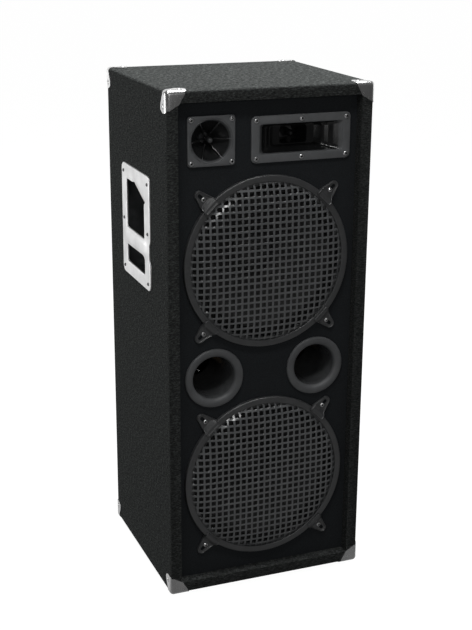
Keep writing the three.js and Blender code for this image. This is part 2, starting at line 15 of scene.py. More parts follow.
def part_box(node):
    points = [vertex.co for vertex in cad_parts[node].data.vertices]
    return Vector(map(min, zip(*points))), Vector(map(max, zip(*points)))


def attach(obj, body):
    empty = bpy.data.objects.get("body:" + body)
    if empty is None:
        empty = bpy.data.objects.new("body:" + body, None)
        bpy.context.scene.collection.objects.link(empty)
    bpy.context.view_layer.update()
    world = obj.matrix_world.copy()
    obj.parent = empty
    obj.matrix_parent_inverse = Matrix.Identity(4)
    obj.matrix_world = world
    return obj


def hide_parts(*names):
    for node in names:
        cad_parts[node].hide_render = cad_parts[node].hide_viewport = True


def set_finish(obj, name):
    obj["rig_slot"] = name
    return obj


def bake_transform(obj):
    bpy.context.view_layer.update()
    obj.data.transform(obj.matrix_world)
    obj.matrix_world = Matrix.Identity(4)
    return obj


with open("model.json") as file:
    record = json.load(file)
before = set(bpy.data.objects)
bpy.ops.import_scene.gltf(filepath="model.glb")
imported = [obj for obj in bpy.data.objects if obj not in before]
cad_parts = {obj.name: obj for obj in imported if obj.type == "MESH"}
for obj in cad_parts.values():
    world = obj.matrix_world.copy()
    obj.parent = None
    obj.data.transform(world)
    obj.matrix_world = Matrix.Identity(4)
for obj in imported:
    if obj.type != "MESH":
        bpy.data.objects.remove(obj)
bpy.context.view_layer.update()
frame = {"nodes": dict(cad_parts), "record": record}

MM = 0.001  # one millimetre in Blender's metres
SMOOTH_ANGLE = math.radians(38)


# ---- places, from the CAD


def box_mm(node):
    low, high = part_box(node)
    return low / MM, high / MM


def centre_and_size(node):
    low, high = box_mm(node)
    return (low + high) / 2, high - low


CABINET_LOW, CABINET_HIGH = box_mm("felt_cover")
SIDE = CABINET_HIGH.x
FRONT = CABINET_LOW.y
REAR = CABINET_HIGH.y
BOTTOM = CABINET_LOW.z
TOP = CABINET_HIGH.z
BAFFLE = box_mm("front_baffle")[0].y
RING_RADIUS = centre_and_size("upper_woofer_grille_ring")[1].x / 2

GAP = 0.3  # between neighbouring pieces
EDGE_RADIUS = 4  # of the cabinet's outer edges
EDGE_STEPS = 6
RIM = 20  # the felt rim round the recessed front
FELT = 2.5  # its thickness
BOTH = (-1, 1)
ROUND = ((-1, -1), (1, -1), (1, 1), (-1, 1))  # a square's corners in turn
QUARTER = math.pi / 2


# ---- materials


class Shader:
    """A Principled material and the small node networks that give it colour and relief."""

    def __init__(self, name, colour, roughness, metallic=0.0, **inputs):
        self.material = bpy.data.materials.new(name)
        self.material.use_nodes = True
        self.material.diffuse_color = (*colour, 1)
        self.tree = self.material.node_tree
        self.bsdf = self.tree.nodes["Principled BSDF"]
        inputs |= {"Base_Color": (*colour, 1), "Roughness": roughness, "Metallic": metallic}
        for label, value in inputs.items():
            self.put(label, value)
        self.coordinates = self.node("TexCoord").outputs["Object"]

    def put(self, label, value, node=None):
        """Links a socket to that input, or sets it to a value. Spaces are written as _."""
        entry = (node or self.bsdf).inputs[label.replace("_", " ")]
        if isinstance(value, bpy.types.NodeSocket):
            self.tree.links.new(value, entry)
        else:
            entry.default_value = value

    def node(self, kind, **inputs):
        node = self.tree.nodes.new("ShaderNode" + kind)
        for label, value in inputs.items():
            self.put(label, value, node)
        return node

    def noise(self, scale, detail, stretch=(1, 1, 1), roughness=0.55):
        """Noise with that many features to a metre, drawn out along the axes by the stretch."""
        place = self.node("Mapping", Vector=self.coordinates, Scale=stretch).outputs["Vector"]
        texture = self.node(
            "TexNoise", Vector=place, Scale=scale, Detail=detail, Roughness=roughness
        )
        return texture.outputs["Fac"]

    def along(self, axis):
        """The place along an axis, in metres."""
        return self.node("SeparateXYZ", Vector=self.coordinates).outputs[axis]

    def cells(self, scale, feature="F1"):
        texture = self.node("TexVoronoi", Vector=self.coordinates, Scale=scale)
        texture.feature = feature
        return texture.outputs["Distance"]

    def wave(self, direction, scale):
        texture = self.node("TexWave", Vector=self.coordinates, Scale=scale)
        texture.bands_direction = direction
        return texture.outputs["Fac"]

    def math(self, operation, *values):
        node = self.node("Math")
        node.operation = operation
        for entry, value in zip(node.inputs, values):
            if isinstance(value, bpy.types.NodeSocket):
                self.tree.links.new(value, entry)
            else:
                entry.default_value = value
        return node.outputs[0]

    def weighted(self, first, weight, second, other_weight):
        """The two added, each times its weight."""
        first = self.math("MULTIPLY", first, weight)
        return self.math("ADD", first, self.math("MULTIPLY", second, other_weight))

    def ramp(self, factor, stops):
        """A colour ramp, from (position, colour) stops."""
        node = self.node("ValToRGB", Fac=factor)
        elements = node.color_ramp.elements
        while len(elements) < len(stops):
            elements.new(0.5)
        for element, (position, colour) in zip(elements, stops):
            element.position = position
            element.color = (*colour, 1)
        return node.outputs["Color"]

    def mixed(self, factor, first, second):
        node = self.node("Mix")
        node.data_type = "RGBA"
        for label, value in (("Factor", factor), ("A", first), ("B", second)):
            self.put(label, value, node)
        return node.outputs["Result"]

    def colour(self, factor, stops):
        self.put("Base Color", self.ramp(factor, stops))

    def roughness(self, factor, low, high):
        self.put("Roughness", self.math("MULTIPLY_ADD", factor, high - low, low))

    def bump(self, height, depth_mm, strength):
        """Relief of that depth. A second call adds to the first."""
        node = self.node("Bump", Height=height, Distance=depth_mm * MM, Strength=strength)
        before = self.bsdf.inputs["Normal"].links
        if before:
            self.put("Normal", before[0].from_socket, node)
        self.put("Normal", node.outputs["Normal"])


def grey(value, warmth=0.0):
    return (value * (1 + warmth), value, value * (1 - warmth))


def greys(low, high, warmth=0.0, start=0.3, end=0.7):
    """Ramp stops from one grey to another, over the range that noise mostly keeps to."""
    return [(start, grey(low, warmth)), (end, grey(high, warmth))]


COOL = -0.03  # the warmth of the black coats and plastics


def make_felt():
    """Needled carpet: a coarse mottle of tufts with fine fibres over it."""
    felt = Shader("felt", grey(0.04), 1.0, Specular_IOR_Level=0.0)
    nap = (0.5, 0.35, 1.3)  # the fibres lie along the cabinet's depth
    tufts = felt.noise(380, 4, nap, 0.75)
    fibres = felt.noise(1200, 3, nap, 0.7)
    tones = ((0.34, 0.013), (0.46, 0.032), (0.54, 0.052), (0.66, 0.11))
    stops = [(place, (tone * 0.946, tone, tone * 0.98)) for place, tone in tones]
    felt.colour(felt.weighted(tufts, 0.68, fibres, 0.32), stops)
    felt.bump(tufts, 1.0, 0.5)
    felt.bump(fibres, 0.5, 0.7)
    return felt.material


def make_board():
    board = Shader("board", (0.36, 0.25, 0.14), 0.8)
    flakes = board.cells(260)
    grain = board.noise(120, 6)
    stops = [(0.2, (0.2, 0.12, 0.06)), (0.5, (0.38, 0.26, 0.14)), (0.8, (0.52, 0.38, 0.22))]
    board.colour(board.weighted(flakes, 0.5, grain, 0.7), stops)
    board.bump(flakes, 0.3, 0.5)
    return board.material


def make_baffle():
    baffle = Shader("baffle", grey(0.03), 0.8, Specular_IOR_Level=0.15)
    grain = baffle.noise(700, 4)
    baffle.colour(grain, greys(0.02, 0.032, -0.1, 0.35, 0.65))
    baffle.bump(grain, 0.25, 0.6)
    baffle.bump(baffle.noise(150, 2), 0.4, 0.4)
    return baffle.material


def make_black_steel(name, level, low, high):
    """Powder coat: a faint orange peel over an even black."""
    steel = Shader(
        name,
        grey(level, COOL),
        (low + high) / 2,
        Coat_Weight=0.15,
        Coat_Roughness=0.3,
        Specular_IOR_Level=0.9,
    )
    steel.colour(steel.noise(60, 4), greys(level * 0.85, level * 1.15, COOL))
    steel.roughness(steel.noise(140, 3), low, high)
    steel.bump(steel.noise(900, 2), 0.12, 0.5)
    return steel.material


def make_black_plastic(name, level, hidden):
    """Moulded plastic, with painted shade: darker where it runs back behind the front, where little
    light reaches.
    """
    plastic = Shader(name, grey(level, COOL), 0.45)
    flow = plastic.noise(45, 4)
    face = plastic.ramp(flow, greys(level * 0.88, level * 1.12, COOL))
    # inside is painted shade: the colour given, at the hidden level, where the plastic runs back
    # into the cabinet
    inside = plastic.ramp(flow, greys(hidden * 0.8, hidden * 1.2, COOL))
    fade = 6  # the depth over which the painted shade comes in, half of it in front of the baffle
    middle = 0.5 - BAFFLE / fade
    depth = plastic.math("MULTIPLY_ADD", plastic.along("Y"), 1 / (fade * MM), middle)
    depth.node.use_clamp = True
    plastic.put("Base Color", plastic.mixed(depth, face, inside))
    shine = plastic.math("ADD", plastic.noise(200, 3), plastic.math("MULTIPLY", depth, -1.9))
    plastic.roughness(shine, 0.38, 0.52)
    plastic.bump(plastic.noise(1400, 2), 0.08, 0.6)
    return plastic.material


def make_steel(name, level, low, high, stretch):
    """Bare or plated steel with a faint directional brushing."""
    steel = Shader(name, grey(level), (low + high) / 2, 0.9)
    brushing = steel.noise(500, 3, stretch)
    steel.colour(steel.noise(35, 5), greys(level * 0.86, level * 1.08))
    steel.roughness(brushing, low, high)
    steel.bump(brushing, 0.05, 0.35)
    return steel.material


RECESS_ARM = 2.4  # a screw's cross recess: from its middle to an arm's end
RECESS_TOP = 2.0  # the height below which only the recess lies inside that reach


def make_screw_steel():
    """Plated steel, with painted shade down in the head's recess."""
    steel = Shader("screw_steel", grey(0.8), 0.3, 0.9)
    across, up = steel.along("X"), steel.along("Z")
    radius_squared = steel.weighted(across, across, up, up)
    inside = steel.math("LESS_THAN", radius_squared, (RECESS_ARM * MM) ** 2)
    below = steel.math("GREATER_THAN", steel.along("Y"), -RECESS_TOP * MM)
    plated = steel.ramp(steel.noise(300, 3), greys(0.7, 0.85))
    # dark is painted shade for the cross recess of each head
    dark = steel.ramp(steel.noise(900, 2), greys(0.012, 0.03))
    painted_recess_shade = steel.math("MULTIPLY", inside, below)
    steel.put("Base Color", steel.mixed(painted_recess_shade, plated, dark))
    steel.roughness(steel.noise(500, 3), 0.22, 0.4)
    return steel.material


def make_dull(name, level, roughness, mottle, tones, relief, bump):
    """A dull grey: the mottle and the relief are noise, each (features to a metre, detail)."""
    dull = Shader(name, grey(level), roughness)
    dull.colour(dull.noise(*mottle), greys(*tones))
    dull.bump(dull.noise(*relief), *bump)
    return dull.material


def make_weave(name, dark, light, threads):
    """Cloth woven from that many threads to a metre."""
    cloth = Shader(name, light, 0.85)
    weave = cloth.math("MULTIPLY", *(cloth.wave(axis, threads / 20) for axis in ("X", "Z")))
    cloth.colour(weave, [(0.1, dark), (0.8, light)])
    cloth.bump(weave, 0.3, 0.6)
    return cloth.material


def make_copper():
    copper = Shader("copper", (0.7, 0.38, 0.2), 0.3, 0.9)
    copper.bump(copper.wave("Y", 120), 0.3, 0.8)  # the coil's turns
    return copper.material


def make_circuit():
    circuit = Shader("circuit", (0.03, 0.14, 0.05), 0.5)
    tracks = circuit.cells(160, "DISTANCE_TO_EDGE")
    circuit.colour(tracks, [(0.02, (0.06, 0.22, 0.08)), (0.08, (0.02, 0.1, 0.04))])
    circuit.bump(tracks, 0.1, 0.4)
    return circuit.material


PAPER = (0.035, 0.8, (420, 5), (0.022, 0.055), (420, 5), (0.4, 0.5))
FERRITE = (0.06, 0.6, (300, 4), (0.045, 0.08), (500, 3), (0.15, 0.5))
RUBBER = (0.012, 0.85, (200, 3), (0.009, 0.02), (800, 2), (0.15, 0.5))
MATERIALS = {
    "felt": make_felt(),
    "board": make_board(),
    "baffle": make_baffle(),
    "black_steel": make_black_steel("black_steel", 0.05, 0.36, 0.5),
    # mesh_steel is partly painted light: a brighter, glossier copy of the black coat, its level
    # raised to stand in for the light on the grille
    "mesh_steel": make_black_steel("mesh_steel", 0.125, 0.15, 0.22),
    # The second level of each black plastic is its painted shade behind the baffle.
    "black_plastic": make_black_plastic("black_plastic", 0.12, 0.09),
    "flange_plastic": make_black_plastic("flange_plastic", 0.15, 0.012),
    "smooth_plastic": make_black_plastic("smooth_plastic", 0.14, 0.02),
    "zinc": make_steel("zinc", 0.55, 0.18, 0.32, (1, 1, 0.2)),
    "screw_steel": make_screw_steel(),
    "handle_steel": make_steel("handle_steel", 0.68, 0.36, 0.5, (1, 0.15, 1)),
    "paper": make_dull("paper", *PAPER),
    "foam": make_weave("foam", grey(0.008), grey(0.02), 900),
    "copper": make_copper(),
    "ferrite": make_dull("ferrite", *FERRITE),
    "spider_cloth": make_weave("spider_cloth", (0.3, 0.2, 0.06), (0.5, 0.36, 0.13), 700),
    "rubber": make_dull("rubber", *RUBBER),
    "circuit": make_circuit(),
}


# ---- shapes


def added(name, data):
    obj = bpy.data.objects.new(name, data)
    bpy.context.scene.collection.objects.link(obj)
    return obj


def made(name, points, faces, slot, look=None):
    """A closed mesh from points in millimetres and their faces, with welded seams."""
    mesh = bpy.data.meshes.new(name)
    mesh.from_pydata([Vector(point) * MM for point in points], [], faces)
    shape = bmesh.new()
    shape.from_mesh(mesh)
    bmesh.ops.remove_doubles(shape, verts=shape.verts, dist=2e-6)
    bmesh.ops.dissolve_degenerate(shape, edges=shape.edges, dist=1e-7)
    bmesh.ops.recalc_face_normals(shape, faces=shape.faces)
    shape.to_mesh(mesh)
    shape.free()
    obj = added(name, mesh)
    dress(obj, slot, look)
    return obj


def dress(obj, slot, look=None):
    """Gives the piece its slot, and the slot's material unless another look is named."""
    obj.data.materials.clear()
    obj.data.materials.append(MATERIALS[look or slot])
    obj.data.polygons.foreach_set("use_smooth", [True] * len(obj.data.polygons))
    obj.data.set_sharp_from_angle(angle=SMOOTH_ANGLE)
    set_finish(obj, slot)


def carved(obj, cutters, operation="DIFFERENCE"):
    """The piece with the cutters cut out of it, or kept to them. The cutters are used up."""
    for cutter in cutters:
        cut = obj.modifiers.new("cut", "BOOLEAN")
        cut.operation = operation
        cut.solver = "MANIFOLD"
        cut.object = cutter
    bpy.context.view_layer.update()
    shaped = obj.evaluated_get(bpy.context.evaluated_depsgraph_get())
    mesh = bpy.data.meshes.new_from_object(shaped)
    obj.modifiers.clear()
    obj.data = mesh
    for cutter in cutters:
        bpy.data.objects.remove(cutter)
    dress(obj, obj["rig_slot"])
    return obj


def front_place(node):
    """Puts u, v, h across, up and out of the baffle, from the middle of a CAD node."""
    x, _, z = centre_and_size(node)[0]
    return lambda u, v, h: (x + u, BAFFLE - h, z + v)


def rear_place(node):
    x, _, z = centre_and_size(node)[0]
    return lambda u, v, h: (x - u, REAR + h, z + v)


def side_place(sign, node):
    """On the left side (-1) or the right side (1): u runs towards the left side's front."""
    _, y, z = centre_and_size(node)[0]
    return lambda u, v, h: (sign * (SIDE + h), y + sign * u, z + v)


def filleted(points, radius, steps=3, closed=True):
    """A line of (a, b) points with its corners rounded, as far as the sides allow."""
    result = []
    count = len(points)
    for i, point in enumerate(points):
        if not closed and i in (0, count - 1):
            result.append(tuple(point))
            continue
        here = Vector(point)
        back = Vector(points[i - 1]) - here
        ahead = Vector(points[(i + 1) % count]) - here
        reach = min(radius, back.length * 0.45, ahead.length * 0.45)
        start = here + back.normalized() * reach
        end = here + ahead.normalized() * reach
        for step in range(steps + 1):
            t = step / steps
            bend = start * (1 - t) ** 2 + here * 2 * t * (1 - t) + end * t * t
            result.append((bend.x, bend.y))
    return result


def turned(name, profile, place, slot, steps, fillet, look=None):
    """A solid of revolution. The profile holds (radius, h) points and may touch the axis."""
    on_axis = any(radius == 0 for radius, _ in profile)
    profile = filleted(profile, fillet, closed=not on_axis)
    points, rows = [], []
    for radius, height in profile:
        if radius < 1e-6:
            rows.append([len(points)] * steps)
            points.append(place(0, 0, height))
            continue
        rows.append(list(range(len(points), len(points) + steps)))
        for step in range(steps):
            angle = 2 * math.pi * step / steps
            points.append(place(radius * math.cos(angle), radius * math.sin(angle), height))
    if not on_axis:
        rows.append(rows[0])
    return made(name, points, bridged(rows), slot, look)


def bridged(rows):
    """Faces between each closed row of point numbers and the next."""
    faces = []
    for low, high in zip(rows, rows[1:]):
        for i in range(len(low)):
            j = (i + 1) % len(low)
            corners = [low[i], low[j], high[j], high[i]]
            unique = list(dict.fromkeys(corners))
            if len(unique) > 2:
                faces.append(unique)
    return faces


def rounded_loop(width, height, radius, steps=8, centre=(0, 0)):
    """A rectangle with rounded corners, anticlockwise."""
    points = []
    for quarter, (sx, sy) in enumerate([(1, 1), (-1, 1), (-1, -1), (1, -1)]):
        middle = (sx * (width / 2 - radius), sy * (height / 2 - radius))
        for step in range(steps + 1):
            angle = QUARTER * (quarter + step / steps)
            points.append((
                centre[0] + middle[0] + radius * math.cos(angle),
                centre[1] + middle[1] + radius * math.sin(angle),
            ))
    return points


def ring_loop(radius, steps=64):
    return rounded_loop(2 * radius, 2 * radius, radius, steps // 4)


def area_of(loop):
    return sum(a[0] * b[1] - b[0] * a[1] for a, b in zip(loop, loop[1:] + loop[:1])) / 2


def distinct(loop):
    return [p for p, q in zip(loop, loop[1:] + loop[:1]) if math.dist(p, q) > 1e-4]


def inset(loop, distance):
    """The loop moved to its left by the distance, with mitred corners."""
    result = []
    for i, point in enumerate(loop):
        before, after = loop[i - 1], loop[(i + 1) % len(loop)]
        a = (Vector(point) - Vector(before)).normalized()
        b = (Vector(after) - Vector(point)).normalized()
        left_a, left_b = Vector((-a.y, a.x)), Vector((-b.y, b.x))
        mitre = (left_a + left_b) / max(0.4, 1 + left_a.dot(left_b))
        result.append((point[0] + mitre.x * distance, point[1] + mitre.y * distance))
    return result


def slab(name, outline, holes, span, place, slot, edge, steps=3, look=None):
    """A plate with holes over a span of h, back to front, with its front edges rounded."""
    back, front = span
    loops = [distinct(loop) for loop in [outline, *holes]]
    loops = [
        loop if (area_of(loop) > 0) == (i == 0) else loop[::-1] for i, loop in enumerate(loops)
    ]
    levels = [(0.0, back)]
    for step in range(steps + 1):
        angle = QUARTER * step / steps
        levels.append((edge * (1 - math.cos(angle)), front - edge * (1 - math.sin(angle))))
    points, faces, caps = [], [], {0: [], len(levels) - 1: []}
    for loop in loops:
        rows = []
        for level, (distance, height) in enumerate(levels):
            row = inset(loop, distance)
            rows.append(list(range(len(points), len(points) + len(row))))
            points.extend(place(u, v, height) for u, v in row)
            if level in caps:
                caps[level].append((rows[-1], row))
        faces.extend(bridged(rows))
    for cap in caps.values():
        numbers = [number for row, _ in cap for number in row]
        flat = [[Vector((u, v, 0)) for u, v in row] for _, row in cap]
        faces.extend([numbers[i] for i in triangle] for triangle in tessellate_polygon(flat))
    return made(name, points, faces, slot, look)


def plug(outline, span, place, slot):
    """A sharp-edged cutter with that outline."""
    return slab("cutter", outline, [], span, place, slot, 0.01, 1)


def stacked(rings):
    """The rings' points in one list, and the numbers in it of each ring's own."""
    points, rows = [], []
    for ring in rings:
        rows.append(list(range(len(points), len(points) + len(ring))))
        points.extend(ring)
    return points, rows


def lofted(name, rings, slot, look):
    """A closed tube wall: rings of points that lead down the inside and back up the outside."""
    points, rows = stacked(rings)
    return made(name, points, bridged(rows + rows[:1]), slot, look)


def mesh_of(obj):
    """Keeps a piece's mesh, for others to share, and drops the piece."""
    mesh = obj.data
    bpy.data.objects.remove(obj)
    return mesh


def settle(piece, nodes=(), body="cabinet"):
    """Rides the piece on its body and hides the CAD nodes it stands for."""
    if nodes:
        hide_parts(*nodes)
    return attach(piece, body)


# ---- cabinet


def rounded_block(low, high, radius, steps, mouth=False):
    """Points and faces of a rounded box, without its front face if it has a mouth there."""
    points, faces, index = [], [], {}
    inner_low = [value + radius for value in low]
    inner_high = [value - radius for value in high]

    def corner_point(signs, i, j):
        """On that corner's octant: i from the pole down to the equator, j round it."""
        polar = QUARTER * i / steps
        around = QUARTER * j / steps
        offset = (
            math.sin(polar) * math.cos(around),
            math.sin(polar) * math.sin(around),
            math.cos(polar),
        )
        return tuple(
            round((inner_high if sign > 0 else inner_low)[axis] + sign * radius * offset[axis], 5)
            for axis, sign in enumerate(signs)
        )

    def face(corners):
        numbers = []
        for corner in corners:
            point = corner_point(*corner)
            if point not in index:
                index[point] = len(points)
                points.append(point)
            if index[point] not in numbers:
                numbers.append(index[point])
        if len(numbers) > 2:
            faces.append(numbers)

    def strip(i):
        """A facet along a rounded edge, from one end to the other: (sign, step)."""
        return (-1, i), (-1, i + 1), (1, i + 1), (1, i)

    for signs in [(x, y, z) for x in BOTH for y in BOTH for z in BOTH]:
        for i in range(steps):
            for j in range(steps):
                face((signs, i + a, j + b) for a, b in ((0, 0), (1, 0), (1, 1), (0, 1)))
    for x in BOTH:
        for i in range(steps):
            for z in BOTH:
                face(((x, y, z), step, 0) for y, step in strip(i))
            for y in BOTH:
                face(((x, y, z), steps, step) for z, step in strip(i))
    for y in BOTH:
        for i in range(steps):
            for z in BOTH:
                face(((x, y, z), step, steps) for x, step in strip(i))
    for y in BOTH:
        if not (mouth and y < 0):
            face(((x, y, z), steps, steps) for x, z in ROUND)
    for z in BOTH:
        face(((x, y, z), 0, 0) for x, y in ROUND)
    for x in BOTH:
        face(((x, y, z), steps, 0) for y, z in ROUND)
    return points, faces


def block_piece(name, low, high, radius, slot):
    points, faces = rounded_block(low, high, radius, EDGE_STEPS)
    return made(name, points, faces, slot)


def make_felt_cover():
    """The felt skin: outside, over the front rim, and down the inside of the recess."""
    low, high = list(CABINET_LOW), list(CABINET_HIGH)
    points, faces = rounded_block(low, high, EDGE_RADIUS, EDGE_STEPS, mouth=True)
    low, high = [value + FELT for value in low], [value - FELT for value in high]
    inner = rounded_block(low, high, EDGE_RADIUS - FELT, EDGE_STEPS, mouth=True)
    mouth_side = SIDE - RIM
    mouth_low, mouth_high = BOTTOM + RIM, TOP - RIM
    back = BAFFLE - GAP

    def rectangle(shrink, y):
        """A row round the mouth, that much nearer its middle than the mouth's own edge."""
        x = mouth_side - shrink
        low, high = mouth_low + shrink, mouth_high - shrink
        return [(-x, y, low), (x, y, low), (x, y, high), (-x, y, high)]

    lip, lip_steps = 3.0, 4  # the depth over which the felt turns inwards
    bulge = lip * 0.4  # how far it stands into the mouth
    hidden = FELT - GAP
    rings = [rectangle(EDGE_RADIUS - RIM, FRONT), rectangle(0, FRONT)]
    for step in range(1, lip_steps + 1):
        angle = QUARTER * step / lip_steps
        rings.append(rectangle(bulge * math.sin(angle), FRONT + lip * (1 - math.cos(angle))))
    rings.append(rectangle(bulge, back))
    rings.append(rectangle(-hidden, back))
    rings.append(rectangle(-hidden, FRONT + FELT))
    rings.append(rectangle(EDGE_RADIUS - RIM, FRONT + FELT))
    ring_points, rows = stacked(rings)
    for more_points, more_faces in (inner, (ring_points, bridged(rows))):
        faces = faces + [[number + len(points) for number in face] for face in more_faces]
        points = points + more_points
    cover = made("felt_skin", points, faces, "felt")
    tray_low, tray_high = box_mm("handle_tray_left")
    dish_low, dish_high = box_mm("connector_dish")
    beside, behind = SIDE + 20, REAR + 25
    spare, border = 1, 7  # round a tray, and inside the dish's flange
    tray_start = (-beside, tray_low.y - spare, tray_low.z - spare)
    tray_end = (beside, tray_high.y + spare, tray_high.z + spare)
    dish_start = (dish_low.x + border, REAR - 25, dish_low.z + border)
    dish_end = (dish_high.x - border, behind, dish_high.z - border)
    cutters = [
        block_piece("cut_trays", tray_start, tray_end, 12, "felt"),
        block_piece("cut_dish", dish_start, dish_end, 6, "felt"),
    ]
    settle(carved(cover, cutters), ["felt_cover"])


# ---- screws

SCREW_HEAD = [(0, 2.5), (1.6, 2.45), (3.1, 1.9), (4.1, 0.6), (4.1, 0), (0, 0)]
SCREW_TOP = 2.5
RECESS_WIDTH, RECESS_DEPTH = 1.8, 2.3


def make_screw_mesh(slot):
    """A pan-head screw with a cross recess, its underside at h = 0."""

    def place(u, v, h):
        return (u, -h, v)

    head = turned("screw_head", SCREW_HEAD, place, slot, 40, 0.3)
    arm, half = RECESS_ARM - 0.1, RECESS_WIDTH / 2
    span = (SCREW_TOP - RECESS_DEPTH, 6)
    cross = []
    for u, v in ((arm, half), (half, arm)):
        cross.append(plug([(u * a, v * b) for a, b in ROUND], span, place, slot))
    carved(head, cross)
    if slot == "zinc":
        dress(head, slot, "screw_steel")
    return mesh_of(head)


SCREWS = {slot: make_screw_mesh(slot) for slot in ("zinc", "black_steel")}
SCREW_TURN = math.radians(37)  # each screw stops a little further round than the one before
screw_count = 0


def add_screw(name, point, outward, scale, slot="zinc"):
    """A screw head with its underside at the point, in millimetres."""
    global screw_count
    screw_count += 1
    obj = added(name, SCREWS[slot])
    turn = Vector((0, -1, 0)).rotation_difference(Vector(outward)).to_matrix().to_4x4()
    spin = Matrix.Rotation(SCREW_TURN * screw_count, 4, "Y")
    place = Matrix.Translation(Vector(point) * MM)
    obj.matrix_world = place @ turn @ spin @ Matrix.Scale(scale, 4)
    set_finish(obj, slot)
    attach(obj, "cabinet")


def add_screws(name, places, height, place, outward, scale, slot="zinc"):
    for number, (u, v) in enumerate(places, 1):
        add_screw(f"{name}_screw_{number}", place(u, v, height), outward, scale, slot)


# ---- woofers

GRID_PITCH = (11.73, 11.8)  # across and up
BAR = 3.8  # the width of the steel left between two holes
GRID_REACH = 150.5  # the grille's radius, out under its ring
GRID_START = {"lower": (7.6, 4.8), "upper": (8.0, 1.8)}  # a bar's place from the woofer's axis
DOME = [
    (0, 17), (102, 15.7), (112, 15.1), (120, 14.3), (127, 13.2), (133, 11.8),
    (138, 10), (141.8, 7.9), (144.4, 6), (146.5, 5.35), (160, 5.3),
]  # (distance from the axis, height above the baffle)
MESH_STEEL = 1.3


def dome_height(radius):
    """The grille's outer face above the baffle."""
    if radius < DOME[1][0]:
        return DOME[0][1] - (DOME[0][1] - DOME[1][1]) * (radius / DOME[1][0]) ** 2
    for (r0, h0), (r1, h1) in zip(DOME[1:], DOME[2:]):
        if radius <= r1:
            return h0 + (h1 - h0) * (radius - r0) / (r1 - r0)
    return DOME[-1][1]


def grid_lines(start, pitch):
    """Lines along one axis: both edges of each bar and the middle of each hole."""
    lines = []
    count = int(GRID_REACH / pitch) + 2
    for bar in range(-count, count + 1):
        middle = start + bar * pitch
        lines += [(middle - BAR / 2, True), (middle + BAR / 2, False)]
        lines.append((middle + pitch / 2, False))
    return lines


def make_grille_mesh(name, place):
    """Steel sheet punched with square holes and pressed into a shallow dome."""
    columns, rows = (grid_lines(*line) for line in zip(GRID_START[name], GRID_PITCH))
    points, faces, index = [], [], {}

    def at(i, j, outer):
        key = (i, j, outer)
        if key not in index:
            u, v = columns[i][0], rows[j][0]
            index[key] = len(points)
            points.append(place(u, v, dome_height(math.hypot(u, v)) - (0 if outer else MESH_STEEL)))
        return index[key]

    cells = set()
    for i in range(len(columns) - 1):
        for j in range(len(rows) - 1):
            corners = [(columns[a][0], rows[b][0]) for a in (i, i + 1) for b in (j, j + 1)]
            if (columns[i][1] or rows[j][1]) and max(math.hypot(*c) for c in corners) < GRID_REACH:
                cells.add((i, j))
    for i, j in cells:
        around = [(i, j), (i + 1, j), (i + 1, j + 1), (i, j + 1)]
        faces.append([at(a, b, True) for a, b in around])
        faces.append([at(a, b, False) for a, b in reversed(around)])
        beside = [(i, j - 1), (i + 1, j), (i, j + 1), (i - 1, j)]
        for side, neighbour in enumerate(beside):
            if neighbour not in cells:
                (a, b), (c, d) = around[side], around[(side + 1) % 4]
                faces.append([at(a, b, True), at(a, b, False), at(c, d, False), at(c, d, True)])
    mesh = made(f"{name}_grille", points, faces, "black_steel", "mesh_steel")
    edge = mesh.modifiers.new("edge", "BEVEL")
    edge.width = 0.35 * MM
    edge.segments = 1
    edge.limit_method = "ANGLE"
    edge.angle_limit = math.radians(60)
    settle(mesh, [f"{name}_woofer_grille_mesh"])


def back(profile):
    """A profile whose heights count backwards from the baffle."""
    return [(radius, -depth) for radius, depth in profile]


RING_PROUD = 8.3  # the grille rings' faces above the baffle
RING_INNER = 144.5
RING_SEAT = 153.3  # the radius of the recess behind, which holds the grille's edge
SEAT_PROUD = 5.7
COIL = [(24.5, 82), (26.5, 82), (26.5, 128), (24.5, 128)]
CONE = [
    (26.8, 84), (36, 74), (60, 52.5), (92, 28), (122.5, 5),
    (122.5, 7.2), (92, 30.2), (61, 55.2), (37, 76.5), (26.8, 87),
]
DUST_CAP = [
    (0, 50), (12, 50.8), (24, 54), (34, 60), (42, 67.2),
    (39.5, 68.2), (32.5, 62), (23, 56), (12, 52.8), (0, 52),
]
BASKET = [
    (153, -3.8), (153, -0.3), (140.5, -0.3), (140.5, 14), (80, 96), (62, 96), (62, 112),
    (30, 112), (30, 110), (60, 110), (60, 94), (79, 94), (138.5, 13.2), (138.5, -3.8),
]
MAGNET = [
    (0, 152), (60, 152), (72, 151), (72, 145), (75, 144.6), (75, 121), (70, 120.6), (70, 112.3),
    (28, 112.3), (28, 138), (23, 138), (23, 112.3), (0, 112.3),
]  # back plate, ferrite ring and top plate, with the pole piece inside the gap


def make_grille_ring(name, place):
    outer = RING_RADIUS
    profile = [
        (RING_SEAT, -GAP), (outer, -GAP), (outer, -6.9), (outer - 0.9, -8.1),
        (outer - 2.4, -RING_PROUD), (145.6, -RING_PROUD), (RING_INNER, -7.4),
        (RING_INNER, -SEAT_PROUD), (RING_SEAT, -SEAT_PROUD),
    ]
    ring = turned(f"{name}_ring", back(profile), place, "black_steel", 160, 0.4)
    settle(ring, [f"{name}_woofer_grille_ring"])


def make_cone(name, place):
    for label, node, profile, slot, steps, fillet in (
        ("cone", "cone", CONE, "paper", 128, 3),
        ("dust_cap", "dust_cap", DUST_CAP, "paper", 96, 2),
        ("coil", "voice_coil", COIL, "copper", 96, 0.2),
    ):
        piece = turned(f"{name}_{label}", back(profile), place, slot, steps, fillet)
        settle(piece, [f"{name}_woofer_{node}"], f"{name}_cone_assembly")


